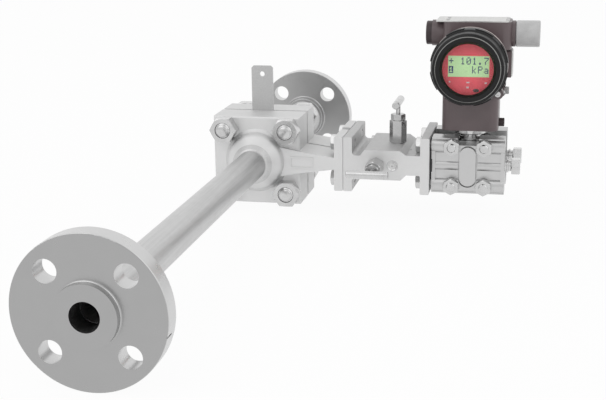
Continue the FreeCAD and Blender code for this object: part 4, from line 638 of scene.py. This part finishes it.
def spigot_thread():
    """The bare turns of thread that show between the front cover and the barrel."""
    profile = [(THREAD_RADIUS * MM, THREAD_START * MM)]
    for turn in range(THREAD_TURNS):
        start = THREAD_START + turn * THREAD_PITCH
        profile.append(((THREAD_RADIUS + THREAD_RISE) * MM, (start + THREAD_PITCH / 2) * MM))
        profile.append((THREAD_RADIUS * MM, (start + THREAD_PITCH) * MM))
    root = (THREAD_RADIUS - THREAD_WALL) * MM
    profile.append((root, profile[-1][1]))
    profile.append((root, profile[0][1]))
    shape = bmesh.new()
    add_turned(shape, profile, middle("dial_plate"))
    new_piece("spigot_thread", finished(shape, "spigot_thread"), "thread", "housing")


def place_camera():
    """A long lens at the photograph's place and tilt."""
    data = bpy.data.cameras.new("camera")
    data.lens = CAMERA_LENS
    data.sensor_width = SENSOR_WIDTH
    data.clip_end = 50.0
    camera = bpy.data.objects.new("camera", data)
    flat = math.cos(CAMERA_ELEVATION)
    back = Vector((
        math.sin(CAMERA_AZIMUTH) * flat,
        -math.cos(CAMERA_AZIMUTH) * flat,
        math.sin(CAMERA_ELEVATION),
    ))
    right = (-back).cross(Vector((0, 0, 1))).normalized()
    up = right.cross(-back)
    turn = Matrix.Rotation(CAMERA_ROLL, 3, back)
    columns = Matrix((turn @ right, turn @ up, back)).transposed()
    camera.matrix_world = Matrix.Translation(CAMERA_PLACE) @ columns.to_4x4()
    bpy.context.scene.collection.objects.link(camera)
    bpy.context.scene.camera = camera


def seen_directly(tree):
    """1 where a camera, glossy or transmission ray looks, else 0."""
    path = tree.nodes.new("ShaderNodeLightPath")
    either = tree.nodes.new("ShaderNodeMath")
    either.operation = "MAXIMUM"
    tree.links.new(path.outputs["Is Camera Ray"], either.inputs[0])
    tree.links.new(path.outputs["Is Glossy Ray"], either.inputs[1])
    all_three = tree.nodes.new("ShaderNodeMath")
    all_three.operation = "MAXIMUM"
    tree.links.new(either.outputs[0], all_three.inputs[0])
    tree.links.new(path.outputs["Is Transmission Ray"], all_three.inputs[1])
    return all_three.outputs[0]


def light_world():
    """A pale studio: white behind and above the object, greyer on the camera's side."""
    world = bpy.data.worlds.new("studio")
    bpy.context.scene.world = world
    world.use_nodes = True
    tree = world.node_tree
    shown = tree.nodes["Background"]
    ray = seen_directly(tree)
    place = tree.nodes.new("ShaderNodeTexCoord")
    parts = tree.nodes.new("ShaderNodeSeparateXYZ")
    tree.links.new(place.outputs["Generated"], parts.inputs[0])
    depth = tree.nodes.new("ShaderNodeMapRange")
    depth.inputs["From Min"].default_value = WORLD_DEPTHS[0]
    depth.inputs["From Max"].default_value = WORLD_DEPTHS[1]
    depth.inputs["To Min"].default_value = WORLD_FRONT
    depth.inputs["To Max"].default_value = WORLD_BACK
    tree.links.new(parts.outputs["Y"], depth.inputs["Value"])
    height = tree.nodes.new("ShaderNodeMapRange")
    height.inputs["From Min"].default_value = WORLD_HEIGHTS[0]
    height.inputs["From Max"].default_value = WORLD_HEIGHTS[1]
    height.inputs["To Min"].default_value = 0.0
    height.inputs["To Max"].default_value = WORLD_TOP
    tree.links.new(parts.outputs["Z"], height.inputs["Value"])
    bright = tree.nodes.new("ShaderNodeMath")
    bright.operation = "MAXIMUM"
    tree.links.new(depth.outputs[0], bright.inputs[0])
    tree.links.new(height.outputs[0], bright.inputs[1])
    level = tree.nodes.new("ShaderNodeMix")
    level.data_type = "FLOAT"
    level.inputs["A"].default_value = WORLD_LIGHT
    tree.links.new(ray, level.inputs["Factor"])
    tree.links.new(bright.outputs[0], level.inputs["B"])
    shown.inputs["Color"].default_value = (1, 1, 1, 1)
    tree.links.new(level.outputs[0], shown.inputs["Strength"])


def add_lamp(name, place, target, size, power):
    """A soft square lamp that looks at a point."""
    data = bpy.data.lights.new(name, "AREA")
    data.shape = "SQUARE"
    data.size = size
    data.energy = power
    lamp = bpy.data.objects.new(name, data)
    lamp.location = place
    lamp.rotation_euler = (Vector(target) - Vector(place)).to_track_quat("-Z", "Y").to_euler()
    bpy.context.scene.collection.objects.link(lamp)


def lay_floor():
    """A pale floor under the flanges that keeps the object's shadow."""
    low = Vector(CAD_BOX[0])
    shape = bmesh.new()
    for x, y in ((-1, -1), (1, -1), (1, 1), (-1, 1)):
        shape.verts.new((x * FLOOR_HALF, y * FLOOR_HALF, low.z - FLOOR_DROP))
    shape.faces.new(shape.verts)
    mesh = finished(shape, "floor")
    floor = bpy.data.objects.new("floor", mesh)
    bpy.context.scene.collection.objects.link(floor)
    material = bpy.data.materials.new("floor_finish")
    material.use_nodes = True
    tree = material.node_tree
    shader = tree.nodes["Principled BSDF"]
    shader.inputs["Base Color"].default_value = FLOOR_COLOUR
    shader.inputs["Roughness"].default_value = FLOOR_GLOSS
    glow = tree.nodes.new("ShaderNodeEmission")
    glow.inputs["Strength"].default_value = 1.0
    share = tree.nodes.new("ShaderNodeMath")
    share.operation = "MULTIPLY"
    share.inputs[1].default_value = FLOOR_SHADE
    tree.links.new(seen_directly(tree), share.inputs[0])
    both = tree.nodes.new("ShaderNodeMixShader")
    tree.links.new(share.outputs[0], both.inputs["Fac"])
    tree.links.new(shader.outputs[0], both.inputs[1])
    tree.links.new(glow.outputs[0], both.inputs[2])
    tree.links.new(both.outputs[0], tree.nodes["Material Output"].inputs["Surface"])
    mesh.materials.append(material)


place_camera()
light_world()
for lamp, values in LAMPS.items():
    add_lamp(lamp, *values)
lay_floor()
dress_nodes()
screen_characters()
dial_marks()
sensor_window()
front_cover()
spigot_thread()
stud_domes()
bpy.context.scene.view_settings.view_transform = "Standard"
